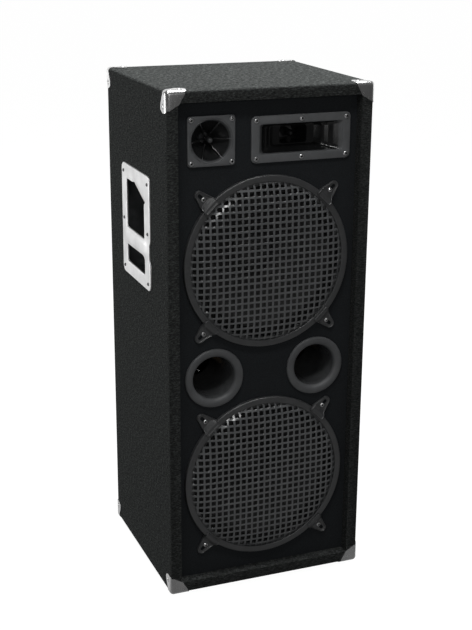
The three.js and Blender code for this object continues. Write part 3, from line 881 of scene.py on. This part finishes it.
def make_surround(name, place):
    """The half-roll edge in two pieces that meet at its crest."""
    middle, outer, inner, edge, steps = 130.4, 7.4, 6.0, 5, 10

    def arc(radius, start, end):
        angles = [start + (end - start) * step / steps for step in range(steps + 1)]
        return [(middle + radius * math.cos(a), edge - radius * math.sin(a)) for a in angles]

    def half_roll(label, start, end):
        profile = arc(outer, start, end) + arc(inner, end, start)
        return turned(f"{name}_surround_{label}", back(profile), place, "foam", 128, 0)

    settle(half_roll("outer", 0, QUARTER), [f"{name}_woofer_surround"])
    inside = half_roll("inner", QUARTER, math.pi)
    crest = Vector(place(0, 0, outer - edge)) * MM
    foot = Vector(place(0, 0, -edge)) * MM
    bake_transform(inside)


def make_basket(name, place):
    shell = turned(f"{name}_basket", back(BASKET), place, "black_steel", 128, 0.6)
    windows = []
    for quarter in range(4):
        turn = QUARTER * quarter

        def window(u, v, h, turn=turn):
            """The window runs out from the axis, so its outline lies in depth and across."""
            return place(
                h * math.cos(turn) - u * math.sin(turn),
                h * math.sin(turn) + u * math.cos(turn),
                -(v - 92) * 1.9 - 18,
            )

        outline = filleted([(17, 92), (38, 134), (-38, 134), (-17, 92)], 6, 4)
        windows.append(plug(outline, (60, 160), window, "black_steel"))
    settle(carved(shell, windows), [f"{name}_woofer_basket"])


def make_magnet(name, place):
    magnet = turned(f"{name}_magnet", back(MAGNET), place, "ferrite", 96, 0.8)
    settle(magnet, [f"{name}_woofer_magnet"])


def make_spider(name, place):
    """Corrugated cloth that centres the voice coil."""
    start, width, depth, height, steps = 26.9, 43, 91.6, 1.3, 60
    waves = [
        (start + width * step / steps, depth + height * math.cos(math.pi * step / 5))
        for step in range(steps + 1)
    ]
    profile = waves + [(radius, under + 0.9) for radius, under in reversed(waves)]
    spider = turned(f"{name}_spider", back(profile), place, "spider_cloth", 96, 0)
    settle(spider, [f"{name}_woofer_spider"])


CLAMP_SCREW = 170  # from the woofer's axis
CLAMP_TILT = {"lower": 46.9, "upper": 45.4}  # the clamps' angle to the horizontal, in degrees
CLAMP_STEEL = 1.2
CLAMP_SLOT = (15.5, 6.4, 3.2, 6, (175.2, 0))  # width, height, corner radius, steps and middle
CLAMP_RIM = [(0.0, 0.3), (0.5, 1.35), (1.3, 1.7), (2.1, 1.35), (2.9, 0.25), (3.6, 0.0)]
CORNERS = {
    "top_right": (1, 1),
    "top_left": (-1, 1),
    "bottom_left": (-1, -1),
    "bottom_right": (1, -1),
}


def clamp_outline():
    """The teardrop's outline: a round tip and a straight root over the ring."""
    tip, radius = 181.0, 8.2
    points = [(147, -14.5), (149, -16.6), (152, -17)]
    for step in range(13):
        angle = math.radians(-66 + 132 * step / 12)
        points.append((tip + radius * math.cos(angle), radius * math.sin(angle)))
    points += [(152, 17), (149, 16.6), (147, 14.5)]
    return points


def ray_to(outline, origin, angle):
    """How far the outline is from the origin in that direction."""
    direction = Vector((math.cos(angle), math.sin(angle)))
    nearest = None
    for a, b in zip(outline, outline[1:] + outline[:1]):
        edge = Vector(b) - Vector(a)
        offset = Vector(a) - Vector(origin)
        cross = direction.x * edge.y - direction.y * edge.x
        if abs(cross) < 1e-9:
            continue
        along = (offset.x * edge.y - offset.y * edge.x) / cross
        share = (offset.x * direction.y - offset.y * direction.x) / cross
        if along > 0 and -1e-6 <= share <= 1 + 1e-6:
            nearest = along if nearest is None else min(nearest, along)
    return nearest


def smoothstep(value, low, high):
    t = min(1, max(0, (value - low) / (high - low)))
    return t * t * (3 - 2 * t)


def clamp_height(u, v):
    """The plate's face: down on the baffle, and up over the ring with a rib where it steps."""
    radius = math.hypot(u, v)
    rise = 1 - smoothstep(radius, 156.0, 162.5)
    rib = math.exp(-(((radius - 160.6) / 1.3) ** 2)) * 0.9
    inside = 1 - smoothstep(abs(v), 8, 13)
    return 3.4 + 6.6 * rise + rib * inside


def make_clamp_mesh():
    """A pressed steel clamp pointing along +u: raised rim, sunk middle, slotted screw hole."""
    origin = (173.0, 0)
    outline = clamp_outline()
    slot_loop = rounded_loop(*CLAMP_SLOT)
    steps = 96
    angles = [2 * math.pi * step / steps for step in range(steps)]

    def ring_at(reaches, lift=0.0):
        ring = []
        for angle, reach in zip(angles, reaches):
            u, v = origin[0] + reach * math.cos(angle), reach * math.sin(angle)
            ring.append((u, v, clamp_height(u, v) + lift))
        return ring

    edge = [ray_to(outline, origin, angle) for angle in angles]
    hole = [ray_to(slot_loop, origin, angle) for angle in angles]
    rings = [ring_at([reach - inwards for reach in edge], lift) for inwards, lift in CLAMP_RIM]
    sunk = [reach - CLAMP_RIM[-1][0] for reach in edge]
    for share in (0.12, 0.25, 0.38, 0.5, 0.62, 0.75, 0.88, 1.0):
        rings.append(ring_at([far + (near - far) * share for far, near in zip(sunk, hole)]))
    underside = [[(u, v, h - CLAMP_STEEL) for u, v, h in ring] for ring in reversed(rings[1:])]
    floor = []  # the edge's foot, just clear of the baffle or the ring
    for u, v, _ in rings[0]:
        on_ring = math.hypot(u, v) <= RING_RADIUS + 1.0
        floor.append((u, v, (RING_PROUD if on_ring else 0) + 0.35))
    shrunk = [
        (u + (inner_u - u) * 1.6, v + (inner_v - v) * 1.6, h)
        for (u, v, h), (inner_u, inner_v, _) in zip(floor, rings[1])
    ]
    points, rows = stacked(rings + underside + [shrunk, floor])
    points = [(u, -h, v) for u, v, h in points]
    return mesh_of(made("clamp", points, bridged(rows + rows[:1]), "black_steel"))


CLAMP = make_clamp_mesh()


def add_clamps(name, place):
    tilt = math.radians(CLAMP_TILT[name])
    for corner, (across, up) in CORNERS.items():
        angle = math.atan2(up * math.sin(tilt), across * math.cos(tilt))
        clamp = added(f"{name}_clamp_plate_{corner}", CLAMP)
        # A turn about Y runs from +Z towards +X, so an anticlockwise angle is negative.
        turn = Matrix.Rotation(-angle, 4, "Y")
        clamp.matrix_world = Matrix.Translation(Vector(place(0, 0, 0)) * MM) @ turn
        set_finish(clamp, "black_steel")
        settle(clamp, [f"{name}_clamp_{corner}"])
        u, v = CLAMP_SCREW * math.cos(angle), CLAMP_SCREW * math.sin(angle)
        add_screw(f"{name}_clamp_{corner}_screw", place(u, v, 3.5), (0, -1, 0), 1.0)


def make_woofers():
    for name in ("lower", "upper"):
        place = front_place(f"{name}_woofer_grille_ring")
        make_grille_mesh(name, place)
        make_grille_ring(name, place)
        make_cone(name, place)
        make_surround(name, place)
        make_basket(name, place)
        make_magnet(name, place)
        make_spider(name, place)
        add_clamps(name, place)


# ---- ports


def make_ports():
    for side in ("left", "right"):
        node = f"bass_port_{side}"
        radius = centre_and_size(node)[1].x / 2
        profile = [
            (radius, -GAP), (radius, -3.2), (radius - 1.2, -4.8), (radius - 4, -5.6),
            (46.5, -5.6), (43, -4.6), (40.6, -2.2), (39, 2.5), (38, 10),
            (38, 120), (41, 120), (41, 10), (43, -GAP),
        ]
        place = front_place(node)
        tube = turned(f"port_tube_{side}", back(profile), place, "black_plastic", 128, 1.2)
        settle(tube, [node])


# ---- tweeter

FLANGE_FRONT = 4.3  # the plastic flanges' faces above the baffle
FLANGE_SPAN = (GAP, FLANGE_FRONT)
TWEETER_MOUTH = 37.7
BELL = [
    (TWEETER_MOUTH + 1, -FLANGE_FRONT + 0.3), (TWEETER_MOUTH, -FLANGE_FRONT - 0.1),
    (TWEETER_MOUTH - 1.2, -FLANGE_FRONT + 1.2), (33.5, 2.5), (29, 8.5), (23, 15), (15, 24),
    (9, 34), (11.5, 34), (17.5, 24), (25.5, 15), (31.5, 8.5), (36, 2.5),
    (TWEETER_MOUTH + 1, -0.5),
]
BULLET = [(0, -0.5), (2.6, 0.2), (4.6, 2.2), (5.6, 5.5), (5.6, 10), (4.6, 27), (0, 27)]
FIN = [
    (3.5, 20), (15, 13.5), (36.2, -2.6), (33.2, 3.2),
    (28.4, 9.6), (22.4, 16), (13.5, 26.5), (3.5, 26.5),
]
FINS = 6
FIN_SPAN = (-0.8, 0.8)
TWEETER_MOTOR = [
    (0, 34.3), (22, 34.3), (24, 36), (24, 42), (23, 43), (23, 51), (22, 52), (0, 52),
]
SMOOTH = ("black_plastic", "smooth_plastic")  # slot and look


def turned_smooth(name, profile, place, steps, fillet):
    slot, look = SMOOTH
    settle(turned(name, back(profile), place, slot, steps, fillet, look))


def make_tweeter():
    size = centre_and_size("tweeter_horn")[1].x
    place = front_place("tweeter_horn")
    slot, look = SMOOTH
    outline, mouth = rounded_loop(size, size, 6), ring_loop(TWEETER_MOUTH + 1.2, 96)
    flange = slab("tweeter_flange", outline, [mouth], FLANGE_SPAN, place, slot, 0.9, look=look)
    settle(flange, ["tweeter_horn"])
    turned_smooth("tweeter_bell", BELL, place, 128, 0.8)
    turned_smooth("tweeter_bullet", BULLET, place, 48, 1.2)
    outline = filleted(FIN, 0.8, 2)
    for number in range(FINS):
        angle = 2 * math.pi / FINS * number + 0.06

        def radial(u, v, h, angle=angle):
            """u runs out from the axis, v into the bell and h across the blade."""
            return place(
                u * math.cos(angle) - h * math.sin(angle),
                u * math.sin(angle) + h * math.cos(angle),
                -v,
            )

        name = f"tweeter_fin_{number + 1}"
        settle(slab(name, outline, [], FIN_SPAN, radial, slot, 0.3, 2, look))
    behind = front_place("tweeter_element")
    motor = turned("tweeter_motor", back(TWEETER_MOTOR), behind, slot, 64, 0.6)
    settle(motor, ["tweeter_element"])
    offset = size / 2 - 6.4
    corners = [(-offset, offset), (offset, offset), (-offset, -offset), (offset, -offset)]
    add_screws("tweeter", corners, FLANGE_FRONT, place, (0, -1, 0), 1.05)


# ---- horn

HORN_MOUTH = (157, 52, 5)  # width, height and corner radius
# Width, height, corner radius and depth behind the baffle, from mouth to throat.
HORN_SECTIONS = [
    (156.8, 51.8, 5, -3.6), (156.2, 51.2, 5, -2.8), (148, 50.4, 4.5, -0.4),
    (143.5, 49.2, 7, 2.6), (133, 46.5, 7, 6.6), (124, 43.8, 7, 10.4), (119, 43.2, 7, 11.0),
    (112, 41.6, 7, 15.0), (104.5, 40, 7, 19.2), (99.5, 39.4, 7, 19.8), (91, 36.6, 4, 25.4),
    (79, 34, 4, 32), (52, 31, 5, 33), (44, 27, 8, 52), (36, 25, 10, 70), (34, 24, 11, 78),
]
HORN_WALL = 2.4
PHASE_PLUG = [(0, 39), (3.4, 40), (5.2, 44), (6.4, 54), (7, 78.2), (0, 78.2)]
HORN_MOTOR = [
    (0, 78.3), (25, 78.3), (26, 79), (26, 84), (30, 85), (44, 87), (45, 89), (45, 104),
    (43, 105), (43, 121), (41, 122.3), (0, 122.3),
]


def make_horn():
    size = centre_and_size("midrange_horn")[1]
    width, height = size.x, size.z
    place = front_place("midrange_horn")
    slot, look = "black_plastic", "flange_plastic"
    outline, mouth = rounded_loop(width, height, 9), rounded_loop(*HORN_MOUTH)
    flange = slab("horn_flange", outline, [mouth], FLANGE_SPAN, place, slot, 1.0, look=look)
    settle(flange, ["midrange_horn"])
    rings = []
    for across, up, radius, depth in HORN_SECTIONS:
        rings.append([place(u, v, -depth) for u, v in rounded_loop(across, up, radius)])
    for across, up, radius, depth in reversed(HORN_SECTIONS):
        loop = rounded_loop(across + 2 * HORN_WALL, up + 2 * HORN_WALL, radius + HORN_WALL)
        rings.append([place(u, v, -max(depth, -0.2)) for u, v in loop])
    settle(lofted("horn_flare", rings, slot, look))
    turned_smooth("horn_phase_plug", PHASE_PLUG, place, 40, 1.6)
    behind = front_place("midrange_driver")
    motor = turned("midrange_motor", back(HORN_MOTOR), behind, "ferrite", 96, 0.8)
    settle(motor, ["midrange_driver"])
    across, up = width / 2 - 8.5, height / 2 - 7.5
    screws = [(u, v) for v in (up, -up) for u in (-across, 0, across)]
    add_screws("horn", screws, FLANGE_FRONT, place, (0, -1, 0), 1.05)


# ---- handles

HANDLE_STEEL = 2.5
SLOPE_START, SLOPE_END = (-12, 77), (51, 52)  # the hand opening's sloped edge
TURN_IN_WIDTH = 12
TURN_IN_DEPTH = 2.4


def tub(name, outline_size, radius, depth, wall, place, slot, rim=0.0):
    """An open box with rounded inner edges, from h = rim down to h = -depth."""
    width, height = outline_size
    outside, inside, steps = 3, 5, 4  # the radii of its bottom edges
    rings = []

    def ring(shrink, corner, h):
        loop = rounded_loop(width - 2 * shrink, height - 2 * shrink, max(1.0, corner), 6)
        rings.append([place(u, v, h) for u, v in loop])

    ring(0, radius, rim)
    for step in range(steps + 1):
        angle = QUARTER * step / steps
        ring(outside * (1 - math.cos(angle)), radius, -depth + outside * (1 - math.sin(angle)))
    outer_floor = len(rings) - 1
    for step in range(steps, -1, -1):
        angle = QUARTER * step / steps
        shrink = wall + inside * (1 - math.cos(angle))
        ring(shrink, radius - wall, -depth + wall + inside * (1 - math.sin(angle)))
    ring(wall, radius - wall, rim)
    points, rows = stacked(rings)
    outer, inner = rows[: outer_floor + 1], rows[outer_floor + 1 :]
    faces = bridged(outer) + bridged(inner) + bridged([rows[-1], rows[0]])
    return made(name, points, faces + [outer[-1], inner[0]], slot)


def handle_outline(width, height):
    """The plate's outline, with a shallow notch beside the grip bar at its front edge."""
    loop = rounded_loop(width, height, 13)
    edge, depth = width / 2, 5.5
    notch = [(edge, -55), (edge - depth, -47), (edge - depth, -21), (edge, -12)]
    kept = [(u, v) for u, v in loop if not (u >= edge - 1e-6 and -60 < v < 0)]
    last = max(i for i, (_, v) in enumerate(kept) if v < 0)
    return kept[: last + 1] + notch + kept[last + 1 :]


def split_at(obj, normal, places):
    """Adds edges where planes across the piece cut it, at those places in millimetres."""
    shape = bmesh.new()
    shape.from_mesh(obj.data)
    for distance in places:
        geometry = shape.verts[:] + shape.edges[:] + shape.faces[:]
        bmesh.ops.bisect_plane(
            shape,
            geom=geometry,
            plane_co=Vector(normal) * distance * MM,
            plane_no=normal,
            dist=1e-7,
        )
    shape.to_mesh(obj.data)
    shape.free()


BAR_SPAN = (-46, -13)  # the grip bar's edges, from the plate's middle
HAND_OPENING = [(-53, -13), (-53, 77), SLOPE_START, SLOPE_END, (51, -13)]
LOWER_OPENING = [(-53, -79), (-53, -46), (45, -44), (52, -51), (52, -79)]
BOW = 3.0  # how far the grip bar bows out


def make_handle(side, sign):
    plate_node, tray_node = f"handle_plate_{side}", f"handle_tray_{side}"
    centre, size = centre_and_size(plate_node)
    width, height = size.y, size.z
    place = side_place(sign, plate_node)
    outline = handle_outline(width, height)
    openings = [filleted(loop, 3.5, 4) for loop in (HAND_OPENING, LOWER_OPENING)]
    front = HANDLE_STEEL + GAP
    name = f"handle_face_{side}"
    plate = slab(name, outline, openings, (GAP, front), place, "handle_steel", 0.9)
    bar_low, bar_high = (centre.z + edge for edge in BAR_SPAN)
    shares = (-0.12, 0.1, 0.3, 0.5, 0.7, 0.9, 1.12)
    split_at(plate, (0, 0, 1), [bar_low + (bar_high - bar_low) * share for share in shares])
    split_at(plate, (0, 1, 0), [centre.y + u for u in range(-76, 77, 8)])
    # The plate is turned in along the sloped edge of the hand opening.
    along_slope = Vector(SLOPE_END) - Vector(SLOPE_START)
    slope = Vector((along_slope.y, -along_slope.x)).normalized() * -1
    start = slope.dot(Vector(SLOPE_START))
    normal = Vector((0, sign * slope.x, slope.y))
    base = normal.y * centre.y + normal.z * centre.z + start
    split_at(plate, normal, [base + share * TURN_IN_WIDTH for share in (0.33, 0.67, 1)])
    for vertex in plate.data.vertices:
        _, y, z = vertex.co / MM
        u, v = sign * (y - centre.y), z - centre.z
        beyond = slope.dot(Vector((u, v))) - start
        if SLOPE_START[0] - 4 < u < SLOPE_END[0] + 4 and -1 < beyond < TURN_IN_WIDTH:
            vertex.co.x -= sign * TURN_IN_DEPTH * (1 - max(0, beyond) / TURN_IN_WIDTH) * MM
        along = (z - bar_low) / (bar_high - bar_low)
        across = abs(y - centre.y) / (width / 2)
        bow = BOW * smoothstep(along, -0.12, 0.3) * (1 - smoothstep(along, 0.7, 1.12))
        vertex.co.x += sign * (bow * (1 - smoothstep(across, 0.62, 0.9))) * MM
    dress(plate, "handle_steel")
    settle(plate, [plate_node])
    size = centre_and_size(tray_node)[1]
    name = f"handle_recess_{side}"
    tray = tub(name, (size.y, size.z), 11, size.x, 2.5, place, "black_plastic")
    settle(tray, [tray_node])
    across = width / 2 - 12
    screws = [(u, v) for u in (-across, across) for v in (height / 2 - 15, 0, -height / 2 + 12.5)]
    add_screws(f"handle_{side}", screws, front, place, (sign, 0, 0), 0.8, "black_steel")


def make_handles():
    for side, sign in (("left", -1), ("right", 1)):
        make_handle(side, sign)


# ---- corner protectors

CAP_STEEL = 1.5
CAP_OUTER = GAP + CAP_STEEL  # its faces, outside the cabinet's
CAP_RADIUS = 7.5  # of its outer edges, rounder than the cabinet's
CAP_SINK = 1.2  # the screws' heads sit this far down in it
CAP_HOLE = 4.5  # radius of its screw holes
# The side and top leaves' reach, by the angle round from the front edge in degrees.
LEAF = [(0, 34.5), (10, 37), (20, 39.5), (38, 39.8), (45, 35), (53, 24), (64, 16.5), (90, 15)]
CAP_SCREW = (26, 12)  # along the front edge and back from the front


def leaf_reach(direction):
    """How far a protector reaches from its corner, in a direction with no negative part."""
    flat = min(range(3), key=lambda axis: direction[axis])
    if flat == 1:  # the front leaf: a scalloped quarter round with a tab at each end
        angle = math.degrees(math.atan2(direction[2], direction[0])) - 45
        scallop = 0.6 * math.cos(math.radians(angle * 12))
        return 30.8 + scallop + 1.8 * smoothstep(abs(angle), 30, 36)
    along = direction[2] if flat == 0 else direction[0]
    angle = math.degrees(math.atan2(direction[1], along))
    for (start, near), (end, far) in zip(LEAF, LEAF[1:]):
        if angle <= end:
            return near + (far - near) * (angle - start) / (end - start)
    return LEAF[-1][1]


def make_cap_mesh():
    """A protector in its own frame: the corner at the origin, the cabinet towards + + +."""
    size = 130  # past every leaf's reach
    shell = block_piece("cap", (-CAP_OUTER,) * 3, (size,) * 3, CAP_RADIUS, "zinc")
    hollow = block_piece("cut_cap", (-GAP,) * 3, (size + 5,) * 3, EDGE_RADIUS + GAP, "zinc")
    across, down = 160, 80
    rings = []
    for i in range(down + 1):
        polar = math.pi * i / down
        ring = []
        for j in range(across):
            around = 2 * math.pi * j / across
            x, y = math.sin(polar) * math.cos(around), math.sin(polar) * math.sin(around)
            ray = Vector((x, y, math.cos(polar)))
            ring.append(tuple(ray * leaf_reach([abs(value) for value in ray])))
        rings.append(ring)
    points, rows = stacked(rings)
    ball = made("cut_ball", points, bridged(rows), "zinc")
    carved(shell, [hollow])
    carved(shell, [ball], "INTERSECT")
    along, behind = CAP_SCREW

    def side_hole(u, v, h):
        return (h, behind + u, along + v)

    def end_hole(u, v, h):
        return (along + u, behind + v, h)

    hole = ring_loop(CAP_HOLE, 40)
    carved(shell, [plug(hole, (-6, 6), place, "zinc") for place in (side_hole, end_hole)])
    return mesh_of(shell)


CAP = make_cap_mesh()


def add_corner_protectors():
    for level, z, up in (("bottom", BOTTOM, 1), ("top", TOP, -1)):
        for end, y, inwards in (("front", FRONT, 1), ("back", REAR, -1)):
            for side, x, middle in (("left", -SIDE, 1), ("right", SIDE, -1)):
                signs = Vector((middle, inwards, up))
                corner = Vector((x, y, z))
                points = [corner + Vector(v.co / MM) * signs for v in CAP.vertices]
                faces = [list(face.vertices) for face in CAP.polygons]
                name = f"protector_{level}_{end}_{side}"
                piece = made(name, points, faces, "zinc")
                settle(piece, [f"corner_{level}_{end}_{side}"])
                lift = CAP_SINK - GAP - CAP_STEEL
                on_side = corner + Vector((lift, CAP_SCREW[1], CAP_SCREW[0])) * signs
                on_top = corner + Vector((CAP_SCREW[0], CAP_SCREW[1], lift)) * signs
                add_screw(f"{name}_side_screw", on_side, (-middle, 0, 0), 0.9)
                add_screw(f"{name}_end_screw", on_top, (0, 0, -up), 0.9)


# ---- feet and rear connectors

FOOT = [(5, 0), (17, 0), (18.2, 4), (19, 9.7), (0, 9.7), (0, 3), (5, 2.6)]
DISH_FRONT = 1.8  # its flange's face behind the cabinet
SOCKETS = ("socket_input", "socket_output")


def make_feet():
    for end in ("front", "back"):
        for side in ("left", "right"):
            node = f"foot_{end}_{side}"
            centre = centre_and_size(node)[0]

            def place(u, v, h, centre=centre):
                return (centre.x + u, centre.y + v, h)

            settle(turned(f"rubber_{node}", FOOT, place, "rubber", 64, 0.9), [node])


def make_rear_dish():
    slot = "black_plastic"
    size = centre_and_size("connector_dish")[1]
    width, height = size.x, size.z
    place = rear_place("connector_dish")
    body = (width - 16, height - 16)
    outline = rounded_loop(width, height, 8)
    mouth = rounded_loop(body[0] - 0.4, body[1] - 0.4, 6)
    flange = slab("dish_flange", outline, [mouth], (GAP, DISH_FRONT), place, slot, 0.6)
    settle(flange, ["connector_dish"])
    recess = tub("dish_recess", body, 6, size.y - DISH_FRONT, 2.5, place, slot, 1.2)
    cutters = [plug(ring_loop(13.6), (-60, 0), rear_place(node), slot) for node in SOCKETS]
    settle(carved(recess, cutters))
    across, up = width / 2 - 6, height / 2 - 6
    corners = [(u, v) for u in (-across, across) for v in (-up, up)]
    add_screws("dish", corners, DISH_FRONT, place, (0, 1, 0), 0.85)
    for node in SOCKETS:
        make_socket(node)


def make_socket(node):
    """A round twist-lock socket: a square flange, a deep cup and a post in its middle."""
    slot = "black_plastic"
    place = rear_place(node)
    front = box_mm(node)[1].y - REAR
    floor = front - 3.6
    face = floor + 2
    outline = rounded_loop(28, 34, 3)
    plate = slab(f"{node}_plate", outline, [ring_loop(12.2)], (floor, face), place, slot, 0.5)
    settle(plate, [node])
    profile = [
        (0, floor - 22), (12.1, floor - 22), (12.1, front), (11.4, front), (11.4, floor - 18),
        (4, floor - 18), (4, front - 0.8), (2, front - 0.4), (0, front - 0.4),
    ]
    settle(turned(f"{node}_cup", profile, place, slot, 64, 0.4))
    add_screws(node, [(-10.5, 13), (10.5, -13)], face, place, (0, 1, 0), 0.55)


# ---- CAD nodes that stay


def dress_cad_nodes():
    slots = {part["node"]: part["material_slot"] for part in frame["record"]["subparts"]}
    for name, obj in frame["nodes"].items():
        obj.data.materials.clear()
        obj.data.materials.append(MATERIALS[slots[name]])
        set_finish(obj, slots[name])


# ---- camera, floor and light


def make_camera():
    """A view from above the top's height and from the left of the front."""
    yaw, pitch, roll = math.radians(21.54), math.radians(17.91), math.radians(0.37)
    level = math.cos(pitch)
    ahead = Vector((math.sin(yaw) * level, math.cos(yaw) * level, -math.sin(pitch)))
    right = Vector((math.cos(yaw), -math.sin(yaw), 0))
    up = right.cross(ahead)
    x_axis = right * math.cos(roll) + up * math.sin(roll)
    y_axis = up * math.cos(roll) - right * math.sin(roll)
    data = bpy.data.cameras.new("camera")
    data.sensor_width = 36
    data.lens = 71.5
    data.clip_end = 50
    camera = added("camera", data)
    turn = Matrix((x_axis, y_axis, -ahead)).transposed().to_4x4()
    camera.matrix_world = Matrix.Translation((-0.83361, -2.1226, 1.21792)) @ turn
    bpy.context.scene.camera = camera


# Soft boxes: place, size and target in metres, and power in watts.
LIGHTS = {
    "overhead": ((0.3, 0.1, 2.8), (1.2, 1.2), 90, (0.05, 0, 0.9)),
    "strip": ((-0.55, -1.1, 2.4), (0.8, 0.14), 8.5, (0, -0.15, 0.7)),
    "left": ((-2.8, 1.5, 0.75), (1.4, 1.4), 46, (-0.19, 0, 0.45)),
    "front": ((-0.25, -3.0, 1.5), (0.5, 0.35), 8, (0, -0.18, 0.5)),
    "corner": ((-1.2, -0.9, 0.38), (0.6, 0.4), 0.8, (0.06, -0.15, 0.83)),
    "right": ((2.6, 0.4, 1.3), (1.2, 1.6), 10, (0.19, 0.1, 0.5)),
    "rear": ((0.3, 3.2, 1.5), (4.0, 2.4), 30, (0, 0.18, 0.7)),
}
AMBIENT = 0.09
FLOOR_GLOW = 0.985  # as the camera sees it
# Its glow in reflections: (place along Y in metres, strength). It falls off into a dark room.
FLOOR_FADE = [(-2.6, 0.05), (-0.19, 0.13), (-0.13, 0.62)]


def add_lights():
    for name, (location, size, power, target) in LIGHTS.items():
        data = bpy.data.lights.new(name, "AREA")
        data.shape = "RECTANGLE"
        data.size, data.size_y = size
        data.energy = power
        light = added(name, data)
        light.location = location
        light.rotation_mode = "QUATERNION"
        light.rotation_quaternion = (Vector(target) - Vector(location)).to_track_quat("-Z", "Y")


def make_floor():
    """A pale floor that gives back light of its own, so that it stays even out to its edges."""
    half = 30000 * MM
    mesh = bpy.data.meshes.new("floor")
    mesh.from_pydata([(x * half, y * half, 0) for x, y in ROUND], [], [[0, 1, 2, 3]])
    floor = added("floor", mesh)
    pale = Shader("floor", grey(0.06), 1.0, Emission_Color=(1, 1, 1, 1))
    (far, dark), (edge, dim), (near, full) = FLOOR_FADE
    slope = (dim - dark) / (edge - far)
    away = pale.math("MULTIPLY_ADD", pale.along("Y"), slope, dim - slope * edge)
    slope = (full - dim) / (near - edge)
    beside = pale.math("MULTIPLY_ADD", pale.along("Y"), slope, dim - slope * edge)
    ahead = pale.math("MAXIMUM", pale.math("MINIMUM", away, dim), dark)
    glow = pale.math("MINIMUM", pale.math("MAXIMUM", ahead, beside), full)
    seen = pale.node("LightPath").outputs["Is Camera Ray"]
    shown = pale.math("MULTIPLY", seen, FLOOR_GLOW)
    pale.put("Emission Strength", pale.math("MAXIMUM", glow, shown))
    mesh.materials.append(pale.material)
    floor.visible_diffuse = False


def make_world():
    """White behind the object, and a dimmer room round it for its light."""
    world = bpy.data.worlds.new("studio")
    bpy.context.scene.world = world
    world.use_nodes = True
    tree = world.node_tree
    seen = tree.nodes["Background"]
    seen.inputs["Color"].default_value = (1, 1, 1, 1)
    room = tree.nodes.new("ShaderNodeBackground")
    room.inputs["Strength"].default_value = AMBIENT
    paths = tree.nodes.new("ShaderNodeLightPath")
    mix = tree.nodes.new("ShaderNodeMixShader")
    tree.links.new(paths.outputs["Is Camera Ray"], mix.inputs["Fac"])
    tree.links.new(room.outputs["Background"], mix.inputs[1])
    tree.links.new(seen.outputs["Background"], mix.inputs[2])
    tree.links.new(mix.outputs["Shader"], tree.nodes["World Output"].inputs["Surface"])


dress_cad_nodes()
make_felt_cover()
make_woofers()
make_ports()
make_tweeter()
make_horn()
make_handles()
add_corner_protectors()
make_feet()
make_rear_dish()
make_camera()
make_floor()
make_world()
add_lights()
bpy.context.scene.view_settings.view_transform = "Standard"
